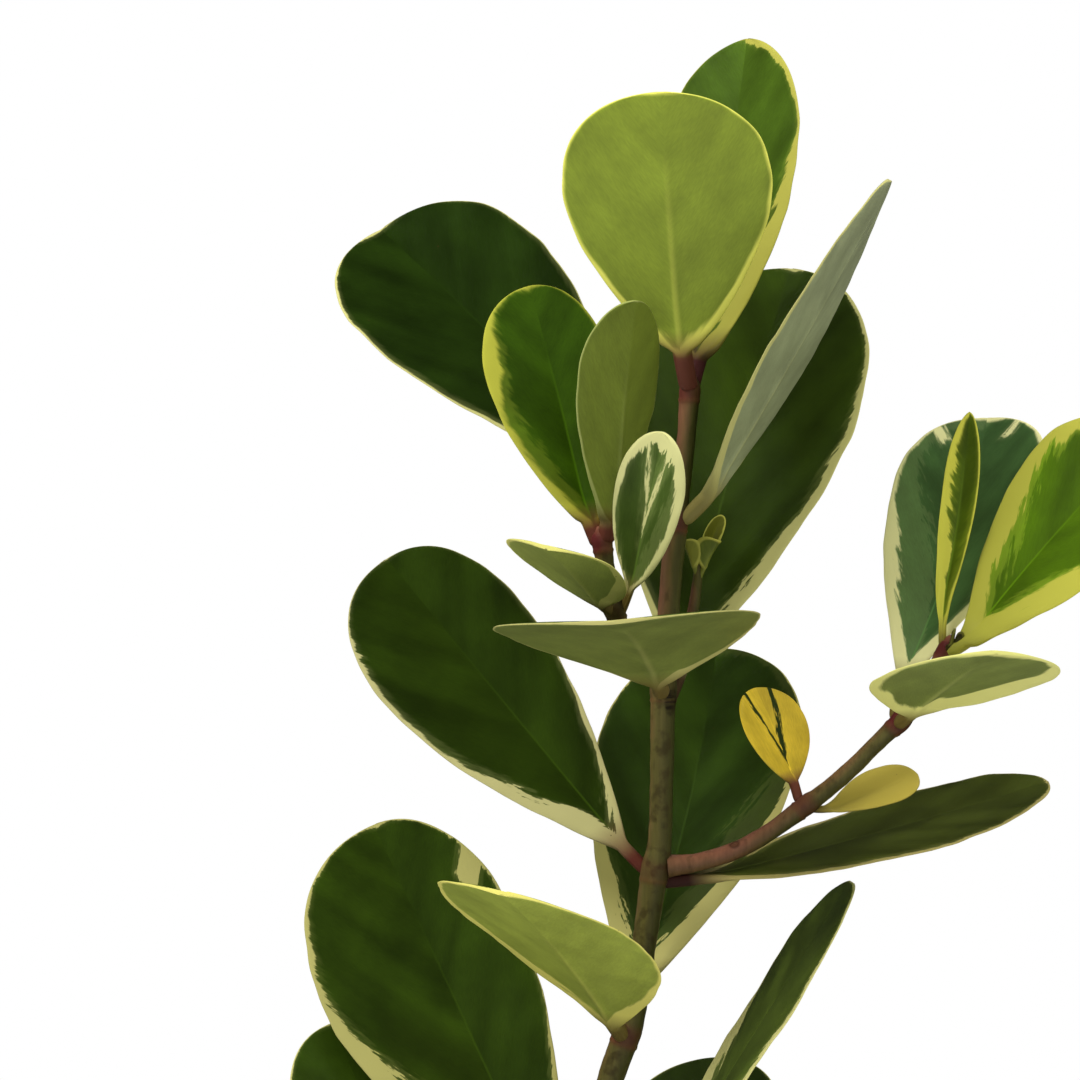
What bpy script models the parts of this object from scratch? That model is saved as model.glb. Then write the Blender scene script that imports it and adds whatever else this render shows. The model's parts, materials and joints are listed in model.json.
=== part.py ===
"""A young clusia with cream-edged leaves, growing in a plain clay pot.

Metres, +Z up, +X to the right and +Y away from whoever faces the plant. The origin is the middle
of the pot's flat underside. Leaves stand in opposite pairs on fleshy stems. Each leaf is a thin
closed blade that narrows into a round petiole, and the petiole ends just clear of its stem.
"""

import math
import random

import bmesh
import bpy
from mathutils import Vector

MM = 0.001
GAP = 0.3                  # clearance between pieces that touch on the real plant, mm

# Pot, mm
POT_HEIGHT = 150.0
POT_FOOT_RADIUS = 56.0
POT_WAIST_RADIUS = 77.0    # just under the rim
POT_RIM_RADIUS = 85.0
POT_RIM_HEIGHT = 32.0
POT_WALL = 6.0
POT_FLOOR = 9.0
POT_SIDES = 48
DRAIN_RADIUS = 5.0
DRAIN_RING = 27.0          # distance of the three drain holes from the middle

# Soil, mm
SOIL_LEVEL = 134.0
SOIL_LUMP = 1.6
SOIL_RINGS = 7
STEM_HOLE_DEPTH = 58.0

# Blades, mm
BLADE_THICKNESS = 1.2
PETIOLE_RADIUS = 1.5
FOLD_SOFTNESS = 2.0        # half width of the rounded bottom of a folded blade

SHOOT_SEED = 7

# Each stem runs through its own points: x, y, z and radius, mm. The points where leaves stand
# are swollen a little, as the joints of this plant are.
ROUTES = {
    "main_stem": [
        (0, 0, 77, 4.8), (0, 0, 105, 4.8), (0, 0, 137, 4.9), (-1, 0, 160, 4.6), (-1, 0, 182, 5.0),
        (-1, 0, 190, 4.5), (0, 0, 215, 4.4), (1, 0, 239, 4.8), (2, 0, 247, 4.3), (4, 0, 285, 4.2),
        (11, 0, 308, 4.6), (14, 0, 320, 4.1), (17, 0, 340, 4.1), (19.5, 0, 357, 4.5),
        (21, 0, 366, 4.0), (21.5, 0, 384, 3.9), (22, 0, 411, 4.2), (22.5, 0, 419, 3.8),
        (24, 0, 440, 3.7), (26, 0, 462, 4.0), (27, 0, 469, 3.6), (29, 0, 488, 3.5),
        (30, 0, 501, 3.7), (30.3, 0, 504.5, 2.4), (30.4, 0, 506.5, 1.0),
    ],
    "right_branch": [
        (25.7, 0, 358.4, 3.4), (28, 0, 358.6, 3.4), (33, 0, 359.4, 3.3), (44, 0, 363, 3.3),
        (54, 0, 368.5, 3.2), (65, 0, 376.5, 3.5), (69, 0, 379.5, 3.2), (78, 0, 387, 3.1),
        (87, 0, 396, 3.1), (93, 0, 401.5, 3.5), (96, 0, 405, 3.1), (100, 0, 411, 3.0),
        (107, 0, 423.5, 3.1), (108, 0, 426, 2.2), (108.5, 0, 427.5, 1.0),
    ],
    "upper_left_branch": [
        (20.1, -4.2, 417.3, 2.3), (17.5, -9, 418.4, 2.3), (13, -18, 423, 2.3), (9, -25, 429.5, 2.3),
        (6.5, -29, 436, 2.6), (5.5, -30, 441, 2.3), (4, -30, 449, 2.3), (3, -30, 456, 2.6),
        (2.8, -30, 458.5, 1.6), (2.7, -30, 460, 0.8),
    ],
    "lower_left_branch": [
        (-5.8, -3.6, 187, 2.7), (-9, -6, 188.3, 2.7), (-20, -9, 196, 2.7), (-33, -9, 207, 2.7),
        (-42, -8, 219, 3.1), (-44.5, -10, 225, 2.6), (-47, -14, 238, 2.5), (-48, -17, 246, 2.8),
        (-48.3, -18, 248.8, 1.7), (-48.5, -18.6, 250.2, 0.8),
    ],
}
SHOOT_ROUTE = [(25.8, 4.9, 417.5, 1.5), (29, 4.4, 424, 1.5), (31.4, 5.2, 435, 1.4), (33, 5.2, 449, 1.2)]
SHOOT_TINY_LEAVES = 6

# Each leaf: the stem and the index of the stem's point that it grows from, how far past that
# point the petiole leaves (mm), the blade's tip (x, y, z, mm), its width, and what bends it:
#   roll   turn about the leaf's own length, degrees
#   arch   total bend of the midrib, degrees; positive where the tip bends back and down
#   fold   how far each half rises from the midrib, degrees
#   low, high   how fast the outline widens from the base and closes at the tip
#   skew   how much wider one half is than the other
#   sweep  how far the middle of the blade bows to one side, mm
#   petiole   its length, mm
#   twist  how far the blade turns from its base to its tip, degrees
SHAPE = {"roll": 0, "arch": 10, "fold": 8, "low": 1.0, "high": 0.5, "skew": 0, "twist": 0,
         "sweep": 0, "petiole": 8}
LEAVES = {
    "crown_front_leaf": ("main_stem", 22, -2.5, (20, -40, 585), 62, {"arch": -8, "skew": 0.03, "petiole": 14}),
    "crown_back_leaf": ("main_stem", 22, -2.5, (49, 25, 610), 55, {"arch": -4, "low": 0.9, "high": 0.58, "petiole": 10}),
    "second_left_leaf": ("main_stem", 19, 0, (-65, 45, 553), 68,
                         {"roll": -45, "arch": 12, "fold": 12, "low": 1.1, "high": 0.42, "skew": -0.03}),
    "second_right_leaf": ("main_stem", 19, 0, (88, -19, 562), 62, {"arch": -4, "fold": 2, "twist": 15}),
    "third_front_leaf": ("main_stem", 16, 0, (4, -92, 433.5), 75,
                         {"roll": 4, "arch": 26, "fold": 3, "low": 0.85, "high": 0.42}),
    "third_back_leaf": ("main_stem", 16, -4, (65, 60, 542), 78, {"roll": 10, "high": 0.55}),
    "fourth_left_leaf": ("main_stem", 13, 0, (-63, 45, 450), 55,
                         {"roll": -50, "arch": -4, "high": 0.45, "skew": -0.12}),
    "fourth_right_leaf": ("main_stem", 13, -4, (139, 10, 382.5), 45,
                          {"roll": 17, "arch": -6, "fold": 4, "low": 0.85, "skew": 0.1}),
    "fifth_front_leaf": ("main_stem", 10, 0, (-25, -85, 359), 66, {"roll": -12, "fold": 4, "low": 1.0}),
    "fifth_back_leaf": ("main_stem", 10, 2, (42, 74, 421), 69, {"sweep": 4.5, "fold": 6}),
    "sixth_left_leaf": ("main_stem", 7, -3, (-67, 40, 367), 66,
                        {"roll": -50, "low": 1.05, "skew": -0.16}),
    "sixth_right_leaf": ("main_stem", 7, 0, (79, 5, 353), 56, {"roll": 2.3, "arch": 0, "fold": 2}),
    "seventh_back_leaf": ("main_stem", 4, 0, (46, 60, 291), 66, {}),
    "seventh_front_leaf": ("main_stem", 4, -2, (22, -104, 236), 66, {"roll": 6, "arch": 14}),
    "upper_low_left_leaf": ("upper_left_branch", 4, 0, (-13, -60, 454), 38,
                            {"roll": -10, "fold": 8, "low": 0.7, "skew": 0.2, "petiole": 5}),
    "upper_low_right_leaf": ("upper_left_branch", 4, -2, (20.2, -52, 486.5), 22, {"roll": 129, "arch": 4, "low": 0.8, "petiole": 7}),
    "upper_tip_left_leaf": ("upper_left_branch", 7, -2, (-18, -15, 531), 36.5, {"roll": -50, "skew": -0.08}),
    "upper_tip_right_leaf": ("upper_left_branch", 7, -1.5, (12.5, -40, 525), 40, {"roll": 18, "high": 0.52}),
    "right_low_upper_leaf": ("right_branch", 5, 0, (50, 10, 411), 25,
                             {"roll": -20, "low": 0.7, "petiole": 5}),
    "right_low_lower_leaf": ("right_branch", 5, 0, (99, 5, 385), 16, {"roll": 40, "petiole": 5}),
    "right_middle_front_leaf": ("right_branch", 9, 0, (115, -50, 424), 60, {"roll": -1, "fold": -4}),
    "right_middle_back_leaf": ("right_branch", 9, 0, (125.6, 46, 494), 54, {"high": 0.42, "sweep": 5}),
    "right_tip_left_leaf": ("right_branch", 12, 0, (114.5, 4, 494.5), 11, {"roll": 50, "fold": 35, "high": 0.8, "sweep": 2}),
    "right_tip_right_leaf": ("right_branch", 12, -0.5, (164, -20, 487), 55, {"roll": 55, "low": 1.15, "skew": 0.05, "petiole": 5}),
    "lower_low_left_leaf": ("lower_left_branch", 4, 0, (-79, 20, 308), 50, {"roll": -30}),
    "lower_low_right_leaf": ("lower_left_branch", 4, 0, (-30, -90, 252), 50, {"roll": -10}),
    "lower_tip_left_leaf": ("lower_left_branch", 7, 0, (-112, -50, 274), 38, {"roll": -20}),
    "lower_tip_right_leaf": ("lower_left_branch", 7, 0, (-42, -62, 280), 36, {}),
}
SMALL_LEAF = 45            # a blade narrower than this gets fewer faces, mm
LARGE_FACES = (12, 14)     # faces round a leaf and along it
SMALL_FACES = (10, 10)
YOUNG_LEAVES = ("right_low_upper_leaf", "right_low_lower_leaf", "right_tip_right_leaf",
                "upper_low_right_leaf", "upper_tip_left_leaf")

CLAY = (0.50, 0.22, 0.12, 1)
SOIL = (0.05, 0.032, 0.022, 1)
STEM_GREEN = (0.085, 0.06, 0.02, 1)
STEM_RED = (0.13, 0.045, 0.03, 1)
LEAF_GREEN = (0.025, 0.055, 0.008, 1)
LEAF_YOUNG = (0.16, 0.20, 0.02, 1)


def clear_scene():
    """Remove whatever the scene starts with."""
    for obj in list(bpy.data.objects):
        bpy.data.objects.remove(obj, do_unlink=True)


def new_collection(name):
    """A collection in the scene."""
    collection = bpy.data.collections.new(name)
    bpy.context.scene.collection.children.link(collection)
    return collection


def add_object(name, data, collection):
    """An object that holds the data, in the collection."""
    obj = bpy.data.objects.new(name, data)
    collection.objects.link(obj)
    return obj


def dress(obj, colour, roughness):
    """Give the object a material of its own."""
    material = bpy.data.materials.new(obj.name + "_surface")
    material.use_nodes = True
    shader = material.node_tree.nodes["Principled BSDF"]
    shader.inputs["Base Color"].default_value = colour
    shader.inputs["Roughness"].default_value = roughness
    shader.inputs["Metallic"].default_value = 0.0
    obj.data.materials.append(material)


def turned(name, profile, collection, sides):
    """A solid of revolution. The profile runs down its outer side, in mm of radius and height."""
    mesh = bpy.data.meshes.new(name)
    points = [(radius * MM, 0, height * MM) for radius, height in profile]
    mesh.from_pydata(points, [(i, i + 1) for i in range(len(points) - 1)], [])
    obj = add_object(name, mesh, collection)
    screw = obj.modifiers.new("turn", "SCREW")
    screw.steps = sides
    screw.render_steps = sides
    screw.use_merge_vertices = True
    screw.merge_threshold = 0.00001
    return obj


def as_mesh(obj, collection):
    """Replace the object by a plain mesh of its evaluated shape."""
    name = obj.name
    bpy.context.view_layer.update()
    evaluated = obj.evaluated_get(bpy.context.evaluated_depsgraph_get())
    mesh = bpy.data.meshes.new_from_object(evaluated)
    matrix = obj.matrix_world.copy()
    bpy.data.objects.remove(obj, do_unlink=True)
    shape = bmesh.new()
    shape.from_mesh(mesh)
    bmesh.ops.remove_doubles(shape, verts=shape.verts, dist=0.00001)
    shape.to_mesh(mesh)
    shape.free()
    solid = add_object(name, mesh, collection)
    solid.matrix_world = matrix
    return solid


def make_pot(parts, cutters):
    """The clay pot: a tapered wall, a thicker rim and three drain holes in its floor."""
    rim_foot = POT_HEIGHT - POT_RIM_HEIGHT
    profile = [
        (0, POT_FLOOR),
        (POT_FOOT_RADIUS - POT_WALL - 1, POT_FLOOR),
        (POT_WAIST_RADIUS - POT_WALL, rim_foot),
        (POT_RIM_RADIUS - POT_WALL - 2, POT_HEIGHT - 3),
        (POT_RIM_RADIUS - POT_WALL, POT_HEIGHT - 0.8),
        (POT_RIM_RADIUS - POT_WALL + 1.5, POT_HEIGHT),
        (POT_RIM_RADIUS - 2.5, POT_HEIGHT),
        (POT_RIM_RADIUS - 0.7, POT_HEIGHT - 0.8),
        (POT_RIM_RADIUS, POT_HEIGHT - 3),
        (POT_RIM_RADIUS - 2, rim_foot + 2.5),
        (POT_RIM_RADIUS - 3.5, rim_foot + 0.8),
        (POT_WAIST_RADIUS + 1, rim_foot),
        (POT_WAIST_RADIUS, rim_foot - 1.5),
        (POT_FOOT_RADIUS + 0.6, 2),
        (POT_FOOT_RADIUS - 1.2, 0),
        (0, 0),
    ]
    pot = turned("pot", profile, parts, POT_SIDES)
    for number in range(3):
        angle = math.radians(90 + 120 * number)
        shape = bmesh.new()
        bmesh.ops.create_cone(shape, cap_ends=True, segments=16, radius1=DRAIN_RADIUS * MM,
                              radius2=DRAIN_RADIUS * MM, depth=3 * POT_FLOOR * MM)
        mesh = bpy.data.meshes.new("drain_cutter")
        shape.to_mesh(mesh)
        shape.free()
        cutter = add_object(f"drain_cutter_{number + 1}", mesh, cutters)
        cutter.location = (DRAIN_RING * MM * math.cos(angle), DRAIN_RING * MM * math.sin(angle), POT_FLOOR * MM / 2)
        cutter.hide_render = True
        cutter.display_type = "WIRE"
        cut = pot.modifiers.new("drain", "BOOLEAN")
        cut.operation = "DIFFERENCE"
        cut.object = cutter
    dress(pot, CLAY, 0.85)
    return pot


def make_soil(parts):
    """The soil: it fills the pot, with a lumpy top and a plain hole that the stem stands in."""
    hole = ROUTES["main_stem"][0][3] + GAP + 0.15
    rim_foot = POT_HEIGHT - POT_RIM_HEIGHT
    slope = (POT_RIM_RADIUS - 2 - POT_WAIST_RADIUS) / (POT_RIM_HEIGHT - 3)
    edge = POT_WAIST_RADIUS - POT_WALL + slope * (SOIL_LEVEL - rim_foot) - 2 * GAP
    profile = [(0, SOIL_LEVEL - STEM_HOLE_DEPTH), (hole, SOIL_LEVEL - STEM_HOLE_DEPTH)]
    for ring in range(SOIL_RINGS + 1):
        radius = hole + (edge - hole) * ring / SOIL_RINGS
        profile.append((radius, SOIL_LEVEL + 3.0 * (1 - ring / SOIL_RINGS)))
    profile += [
        (POT_WAIST_RADIUS - POT_WALL - 2 * GAP, rim_foot),
        (POT_FOOT_RADIUS - POT_WALL - 1 - 2 * GAP, POT_FLOOR + GAP),
        (0, POT_FLOOR + GAP),
    ]
    soil = as_mesh(turned("soil", profile, parts, POT_SIDES // 2), parts)
    for vertex in soil.data.vertices:
        x, y, z = (value / MM for value in vertex.co)
        radius = math.hypot(x, y)
        if z > SOIL_LEVEL - 1 and radius > hole + 1:
            lump = math.sin(x * 0.21 + 1.0) * math.cos(y * 0.17) + 0.6 * math.sin(x * 0.09 - y * 0.26)
            vertex.co.z += SOIL_LUMP * lump * MM
    dress(soil, SOIL, 0.95)
    return soil


def smooth_route(route, step):
    """Points along a smooth curve through the route's own points, about step mm apart."""
    rows = [Vector(row[:3]).to_4d() for row in route]
    for row, source in zip(rows, route):
        row[3] = source[3]
    rows = [rows[0] * 2 - rows[1]] + rows + [rows[-1] * 2 - rows[-2]]
    found = []
    for a, b, c, d in zip(rows, rows[1:], rows[2:], rows[3:]):
        count = max(1, round((c - b).length / step))
        for index in range(count):
            t = index / count
            found.append(0.5 * (2 * b + (c - a) * t + (2 * a - 5 * b + 4 * c - d) * t * t
                                + (3 * b - a - 3 * c + d) * t ** 3))
    found.append(rows[-2])
    return found


def tube(name, route, collection, step=7.0, resolution=2):
    """A round stem along the route, with closed ends."""
    curve = bpy.data.curves.new(name, "CURVE")
    curve.dimensions = "3D"
    curve.bevel_depth = MM
    curve.bevel_resolution = resolution
    curve.use_fill_caps = True
    points = smooth_route(route, step)
    spline = curve.splines.new("POLY")
    spline.points.add(len(points) - 1)
    for target, row in zip(spline.points, points):
        target.co = (row[0] * MM, row[1] * MM, row[2] * MM, 1)
        target.radius = row[3]
    return add_object(name, curve, collection)


def leaf_axes(start, tip, roll):
    """The leaf's own axes: along its length, out of its upper side, and across it."""
    along = (tip - start).normalized()
    up = Vector((0, 0, 1))
    normal = (up - along * along.dot(up)).normalized()
    across = along.cross(normal)
    angle = math.radians(roll)
    turned_normal = normal * math.cos(angle) + across * math.sin(angle)
    turned_across = across * math.cos(angle) - normal * math.sin(angle)
    return along, turned_normal, turned_across


def petiole_start(route, index, rise, tip, rings):
    """Where the petiole ends at its stem: on the leaf's side, just clear of the stem."""
    stem = (Vector(route[index + 1][:3]) - Vector(route[index - 1][:3])).normalized()
    point = Vector(route[index][:3]) + stem * rise
    radius = route[index][3]
    along = (tip - point).normalized()
    side = (along - stem * along.dot(stem)).normalized()
    lean = math.sqrt(max(0.0, 1 - along.dot(side) ** 2))
    first_ring = (tip - point).length * (1 - math.cos(math.pi / rings)) / 2
    lift = max(0.0, PETIOLE_RADIUS * lean - first_ring * along.dot(side))
    return point + side * (radius + GAP + lift)


def leaf_point(sphere, start, tip, width, form):
    """Where a point of the unit sphere lies on the leaf. The sphere's poles are the leaf's ends."""
    along, normal, across = leaf_axes(start, tip, form["roll"])
    bend = math.radians(form["arch"])
    chord = (tip - start).length
    length = chord * (bend / 2) / math.sin(bend / 2) if bend else chord
    y = length * (1 - sphere.z) / 2
    blade = min(max((y - form["petiole"]) / (length - form["petiole"]), 0.0), 1.0)
    low, high = form["low"], form["high"]
    peak = low / (low + high)
    half = width / 2 * blade ** low * (1 - blade) ** high / (peak ** low * (1 - peak) ** high)
    if blade < 0.5:
        half = max(half, PETIOLE_RADIUS)
    reach = math.hypot(sphere.x, sphere.y)
    if reach < 1e-6:
        half, s, face = 0.0, 0.0, 0.0
    else:
        s = sphere.x / reach
        face = 0.0 if abs(sphere.y) < 1e-6 else math.copysign(1.0, sphere.y)
    roundness = 2 + 6 * min(1.0, blade * 8)
    thick = PETIOLE_RADIUS + (BLADE_THICKNESS / 2 - PETIOLE_RADIUS) * min(1.0, blade * 8)
    x = half * s * (1 + form["skew"] * s)
    bow = form["sweep"] * 4 * blade * (1 - blade)
    fold = (math.hypot(x, FOLD_SOFTNESS) - FOLD_SOFTNESS) * math.tan(math.radians(form["fold"]))
    z = fold + face * thick * math.sqrt(max(0.0, 1 - abs(s) ** roundness))
    turn = math.radians(form["twist"]) * (blade - 0.5)
    if bend:
        angle = bend * (0.5 - y / length)
        radius = length / bend
        middle = start + radius * ((math.sin(bend / 2) - math.sin(angle)) * along
                                   + (math.cos(angle) - math.cos(bend / 2)) * normal)
        out = normal * math.cos(angle) - along * math.sin(angle)
    else:
        middle, out = start + along * y, normal
    out, wide = (out * math.cos(turn) + across * math.sin(turn),
                 across * math.cos(turn) - out * math.sin(turn))
    return middle + wide * (x + bow) + out * z


def split_alike(shape):
    """Split every four-sided face along the diagonal that its twin on the blade's other side has."""
    rank = {vertex: (round(-vertex.co.z, 5), -round(abs(vertex.co.x), 5)) for vertex in shape.verts}
    for face in [face for face in shape.faces if len(face.verts) == 4]:
        corners = list(face.verts)
        first = min(range(4), key=lambda index: rank[corners[index]])
        bmesh.utils.face_split(face, corners[first], corners[(first + 2) % 4])


def leaf_shape(start, tip, width, form, around, rings):
    """A closed blade on its petiole, made from a sphere."""
    shape = bmesh.new()
    bmesh.ops.create_uvsphere(shape, u_segments=around, v_segments=rings, radius=1.0)
    split_alike(shape)
    for vertex in shape.verts:
        vertex.co = leaf_point(vertex.co.copy(), start, tip, width, form) * MM
    if shape.calc_volume(signed=True) < 0:
        bmesh.ops.reverse_faces(shape, faces=shape.faces)
    return shape


def make_leaf(name, parts):
    """One leaf, from its row in the table."""
    stem, index, rise, tip, width, own = LEAVES[name]
    form = {**SHAPE, **own}
    tip = Vector(tip)
    around, rings = SMALL_FACES if width < SMALL_LEAF else LARGE_FACES
    start = petiole_start(ROUTES[stem], index, rise, tip, rings)
    shape = leaf_shape(start, tip, width, form, around, rings)
    mesh = bpy.data.meshes.new(name)
    shape.to_mesh(mesh)
    shape.free()
    mesh.shade_smooth()
    leaf = add_object(name, mesh, parts)
    dress(leaf, LEAF_YOUNG if name in YOUNG_LEAVES else LEAF_GREEN, 0.35)
    return leaf


def make_young_shoot(parts):
    """A short new shoot in a leaf's corner: a thin stalk with tiny leaves joined to it."""
    draw = random.Random(SHOOT_SEED)
    shoot = as_mesh(tube("young_shoot", SHOOT_ROUTE, parts, step=4.0), parts)
    bits = new_collection("tiny_leaves")
    for number in range(SHOOT_TINY_LEAVES):
        height = 0.62 + 0.38 * number / (SHOOT_TINY_LEAVES - 1)
        low, high = Vector(SHOOT_ROUTE[-2][:3]), Vector(SHOOT_ROUTE[-1][:3])
        start = low.lerp(high, (height - 0.62) / 0.38)
        angle = math.radians(-120 + 24 * number)
        reach = 6.0 + 0.8 * number
        tip = start + Vector((math.cos(angle), 0.5 * math.sin(angle), 0.9 + draw.uniform(-0.2, 0.3))) * reach
        form = {**SHAPE, "petiole": 1.5, "fold": 20, "roll": draw.uniform(-25, 25)}
        shape = leaf_shape(start, tip, 5.5, form, 8, 6)
        mesh = bpy.data.meshes.new("tiny_leaf")
        shape.to_mesh(mesh)
        shape.free()
        add_object(f"tiny_leaf_{number + 1}", mesh, bits)
    join = shoot.modifiers.new("join", "BOOLEAN")
    join.operation = "UNION"
    join.operand_type = "COLLECTION"
    join.collection = bits
    shoot = as_mesh(shoot, parts)
    for obj in list(bits.objects):
        bpy.data.objects.remove(obj, do_unlink=True)
    bpy.data.collections.remove(bits)
    dress(shoot, LEAF_YOUNG, 0.4)
    return shoot


def main():
    """Build the plant and its pot."""
    clear_scene()
    parts = new_collection("potted_clusia")
    cutters = new_collection("cutters")
    make_pot(parts, cutters)
    make_soil(parts)
    for name, route in ROUTES.items():
        stem = tube(name, route, parts)
        dress(stem, STEM_GREEN if name == "main_stem" else STEM_RED, 0.5)
    make_young_shoot(parts)
    for name in LEAVES:
        make_leaf(name, parts)


main()
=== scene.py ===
# %% [markdown]
# # A potted clusia, dressed for a close look
# The imported model already holds every piece of this plant as a plain solid: the pot, the soil, the
# stems and each leaf. Here the same pieces get the detail that a camera sees, in the same places.

# %% Load the frame
import json
import math
import random
from functools import partial
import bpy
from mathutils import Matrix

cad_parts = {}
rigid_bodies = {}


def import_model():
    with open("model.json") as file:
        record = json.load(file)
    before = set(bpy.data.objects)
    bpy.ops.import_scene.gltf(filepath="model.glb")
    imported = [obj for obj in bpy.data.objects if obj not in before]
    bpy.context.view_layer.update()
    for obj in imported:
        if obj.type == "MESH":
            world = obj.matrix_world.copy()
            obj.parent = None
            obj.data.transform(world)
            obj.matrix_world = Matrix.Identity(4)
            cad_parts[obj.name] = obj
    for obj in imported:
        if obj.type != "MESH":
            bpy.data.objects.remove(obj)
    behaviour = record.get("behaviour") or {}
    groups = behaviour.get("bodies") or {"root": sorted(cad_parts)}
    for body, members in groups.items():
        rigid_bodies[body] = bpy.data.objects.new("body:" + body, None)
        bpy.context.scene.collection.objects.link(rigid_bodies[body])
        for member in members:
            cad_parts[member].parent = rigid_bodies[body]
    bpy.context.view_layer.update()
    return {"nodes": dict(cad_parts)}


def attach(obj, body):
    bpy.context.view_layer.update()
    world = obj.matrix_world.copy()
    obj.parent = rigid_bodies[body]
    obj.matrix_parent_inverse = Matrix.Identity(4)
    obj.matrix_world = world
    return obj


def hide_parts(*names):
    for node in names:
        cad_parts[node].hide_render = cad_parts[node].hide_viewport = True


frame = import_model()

from types import SimpleNamespace

import bmesh
import bpy
from mathutils import Matrix, Vector

MM = 0.001
print("solids:", len(frame["nodes"]), "nodes")

# %% [markdown]
# ## A few small helpers
# A colour is written as a hex value, the way a picker shows it on the screen, and one function turns
# it into the linear light that a shader's sockets expect. Another adds any node, sets it up and links
# it, for materials and Geometry Nodes alike. A node is asked for by the last part of its kind's name,
# with its operation or type after a dot, and the kinds that come up most have a sign or a short word.

# %% Colour, node and object helpers
SHORT = {
    "+": "Math.ADD", "-": "Math.SUBTRACT", "*": "Math.MULTIPLY", "/": "Math.DIVIDE", "**": "Math.POWER",
    "*+": "Math.MULTIPLY_ADD", "abs": "Math.ABSOLUTE", "sign": "Math.SIGN", "min": "Math.MINIMUM",
    "max": "Math.MAXIMUM", "ramp": "MapRange", "soft ramp": "MapRange.SMOOTHSTEP", "noise": "TexNoise",
    "xyz": "CombineXYZ", "scale": "VectorMath.SCALE", "length": "VectorMath.LENGTH", "mix": "Mix.RGBA",
}
PREFIXES = ("ShaderNode", "GeometryNode", "FunctionNode", "Node")
CHOICES = ("operation", "interpolation_type", "rotation_type", "distribute_method", "data_type")


def linear(hex_colour):
    """The linear colour of an sRGB hex value."""
    channels = [int(hex_colour[i:i + 2], 16) / 255 for i in (0, 2, 4)]
    bent = [c / 12.92 if c <= 0.04045 else ((c + 0.055) / 1.055) ** 2.4 for c in channels]
    return (*bent, 1.0)


def feed(node, *inputs):
    """Set or link a node's inputs: in their order, and by name in a dict. A node gives its first output."""
    pairs = [(place, value) for place, value in enumerate(inputs) if not isinstance(value, dict)]
    for named in inputs[len(pairs):]:
        pairs += named.items()
    for key, value in pairs:
        in_use = [socket for socket in node.inputs if socket.enabled]
        socket = in_use[key] if isinstance(key, int) else next(one for one in in_use if one.name == key)
        if isinstance(value, bpy.types.Node):
            value = next(one for one in value.outputs if one.enabled)
        if isinstance(value, bpy.types.NodeSocket):
            node.id_data.links.new(value, socket)
        else:
            socket.default_value = value
    return node


def add(tree, kind, *inputs, **settings):
    """Add a node with its settings, and feed it."""
    name, _, choice = SHORT.get(kind, kind).partition(".")
    node = tree.nodes.new(next(one + name for one in PREFIXES if hasattr(bpy.types, one + name)))
    if choice:
        settings[next(one for one in CHOICES if hasattr(node, one))] = choice
    for setting, value in settings.items():
        setattr(node, setting, value)
    return feed(node, *inputs)


def new_skin(name):
    """A new material. Gives it with a function that adds a node to it, and with its shader."""
    skin = bpy.data.materials.new(name)
    skin.use_nodes = True
    return skin, partial(add, skin.node_tree), skin.node_tree.nodes["Principled BSDF"]


def show(name, data):
    """Put a mesh, a lamp or a camera into the scene under this name."""
    data.name = name
    thing = bpy.data.objects.new(name, data)
    bpy.context.scene.collection.objects.link(thing)
    return thing


def finish_piece(name, mesh, node=None):
    """Show a mesh in metres as a piece that rides on the plant, in place of a solid if one is named."""
    piece = show(name, mesh)
    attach(piece, "root")
    if node:
        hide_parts(node)
    return piece


def mesh_of(name, shape):
    """Keep a bmesh as a mesh."""
    mesh = bpy.data.meshes.new(name)
    shape.to_mesh(mesh)
    shape.free()
    return mesh


def triangles(piece):
    """How many triangles a piece has."""
    return sum(len(face.vertices) - 2 for face in piece.data.polygons)


def grow(name, tree, values, source=None):
    """Run a node tree with these input values and keep its result as a plain mesh."""
    carrier = bpy.data.objects.new(name + "_carrier", source or bpy.data.meshes.new(name))
    bpy.context.scene.collection.objects.link(carrier)
    modifier = carrier.modifiers.new("grow", "NODES")
    modifier.node_group = tree
    for socket in tree.interface.items_tree:
        if socket.in_out == "INPUT" and socket.name in values:
            modifier[socket.identifier] = values[socket.name]
    bpy.context.view_layer.update()
    grown = carrier.evaluated_get(bpy.context.evaluated_depsgraph_get())
    mesh = bpy.data.meshes.new_from_object(grown)
    bpy.data.objects.remove(carrier, do_unlink=True)
    return mesh


print("helpers ready")

# %% [markdown]
# ## The camera and the light
# The plant was photographed level with its middle, from about a metre away, and the picture is cut
# off above the pot. So the camera stands level with the middle of the picture and looks straight
# ahead. The long lens keeps the leaves' true proportions.

# %% Camera
PICTURE_WIDTH = 0.324          # what the picture spans where the stem stands, metres
CAMERA_DISTANCE = 1.0
SENSOR = 36.0                  # the width of the camera's sensor, mm
camera_data = bpy.data.cameras.new("camera")
camera_data.sensor_width = SENSOR
camera_data.sensor_fit = "HORIZONTAL"
camera_data.lens = SENSOR * CAMERA_DISTANCE / PICTURE_WIDTH
camera = show("camera", camera_data)
camera.location = (-0.015, -CAMERA_DISTANCE, 0.456)
camera.rotation_euler = (math.radians(90), 0, 0)
bpy.context.scene.camera = camera
print("lens", round(camera_data.lens, 1), "mm")

# %% [markdown]
# A waxy leaf mirrors whatever surrounds it. A white room all round would lay a grey veil over the
# dark greens, so the room that the leaves see is dim, and soft lamps above and beside them do the
# lighting. Only the backdrop behind the plant is white.

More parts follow.
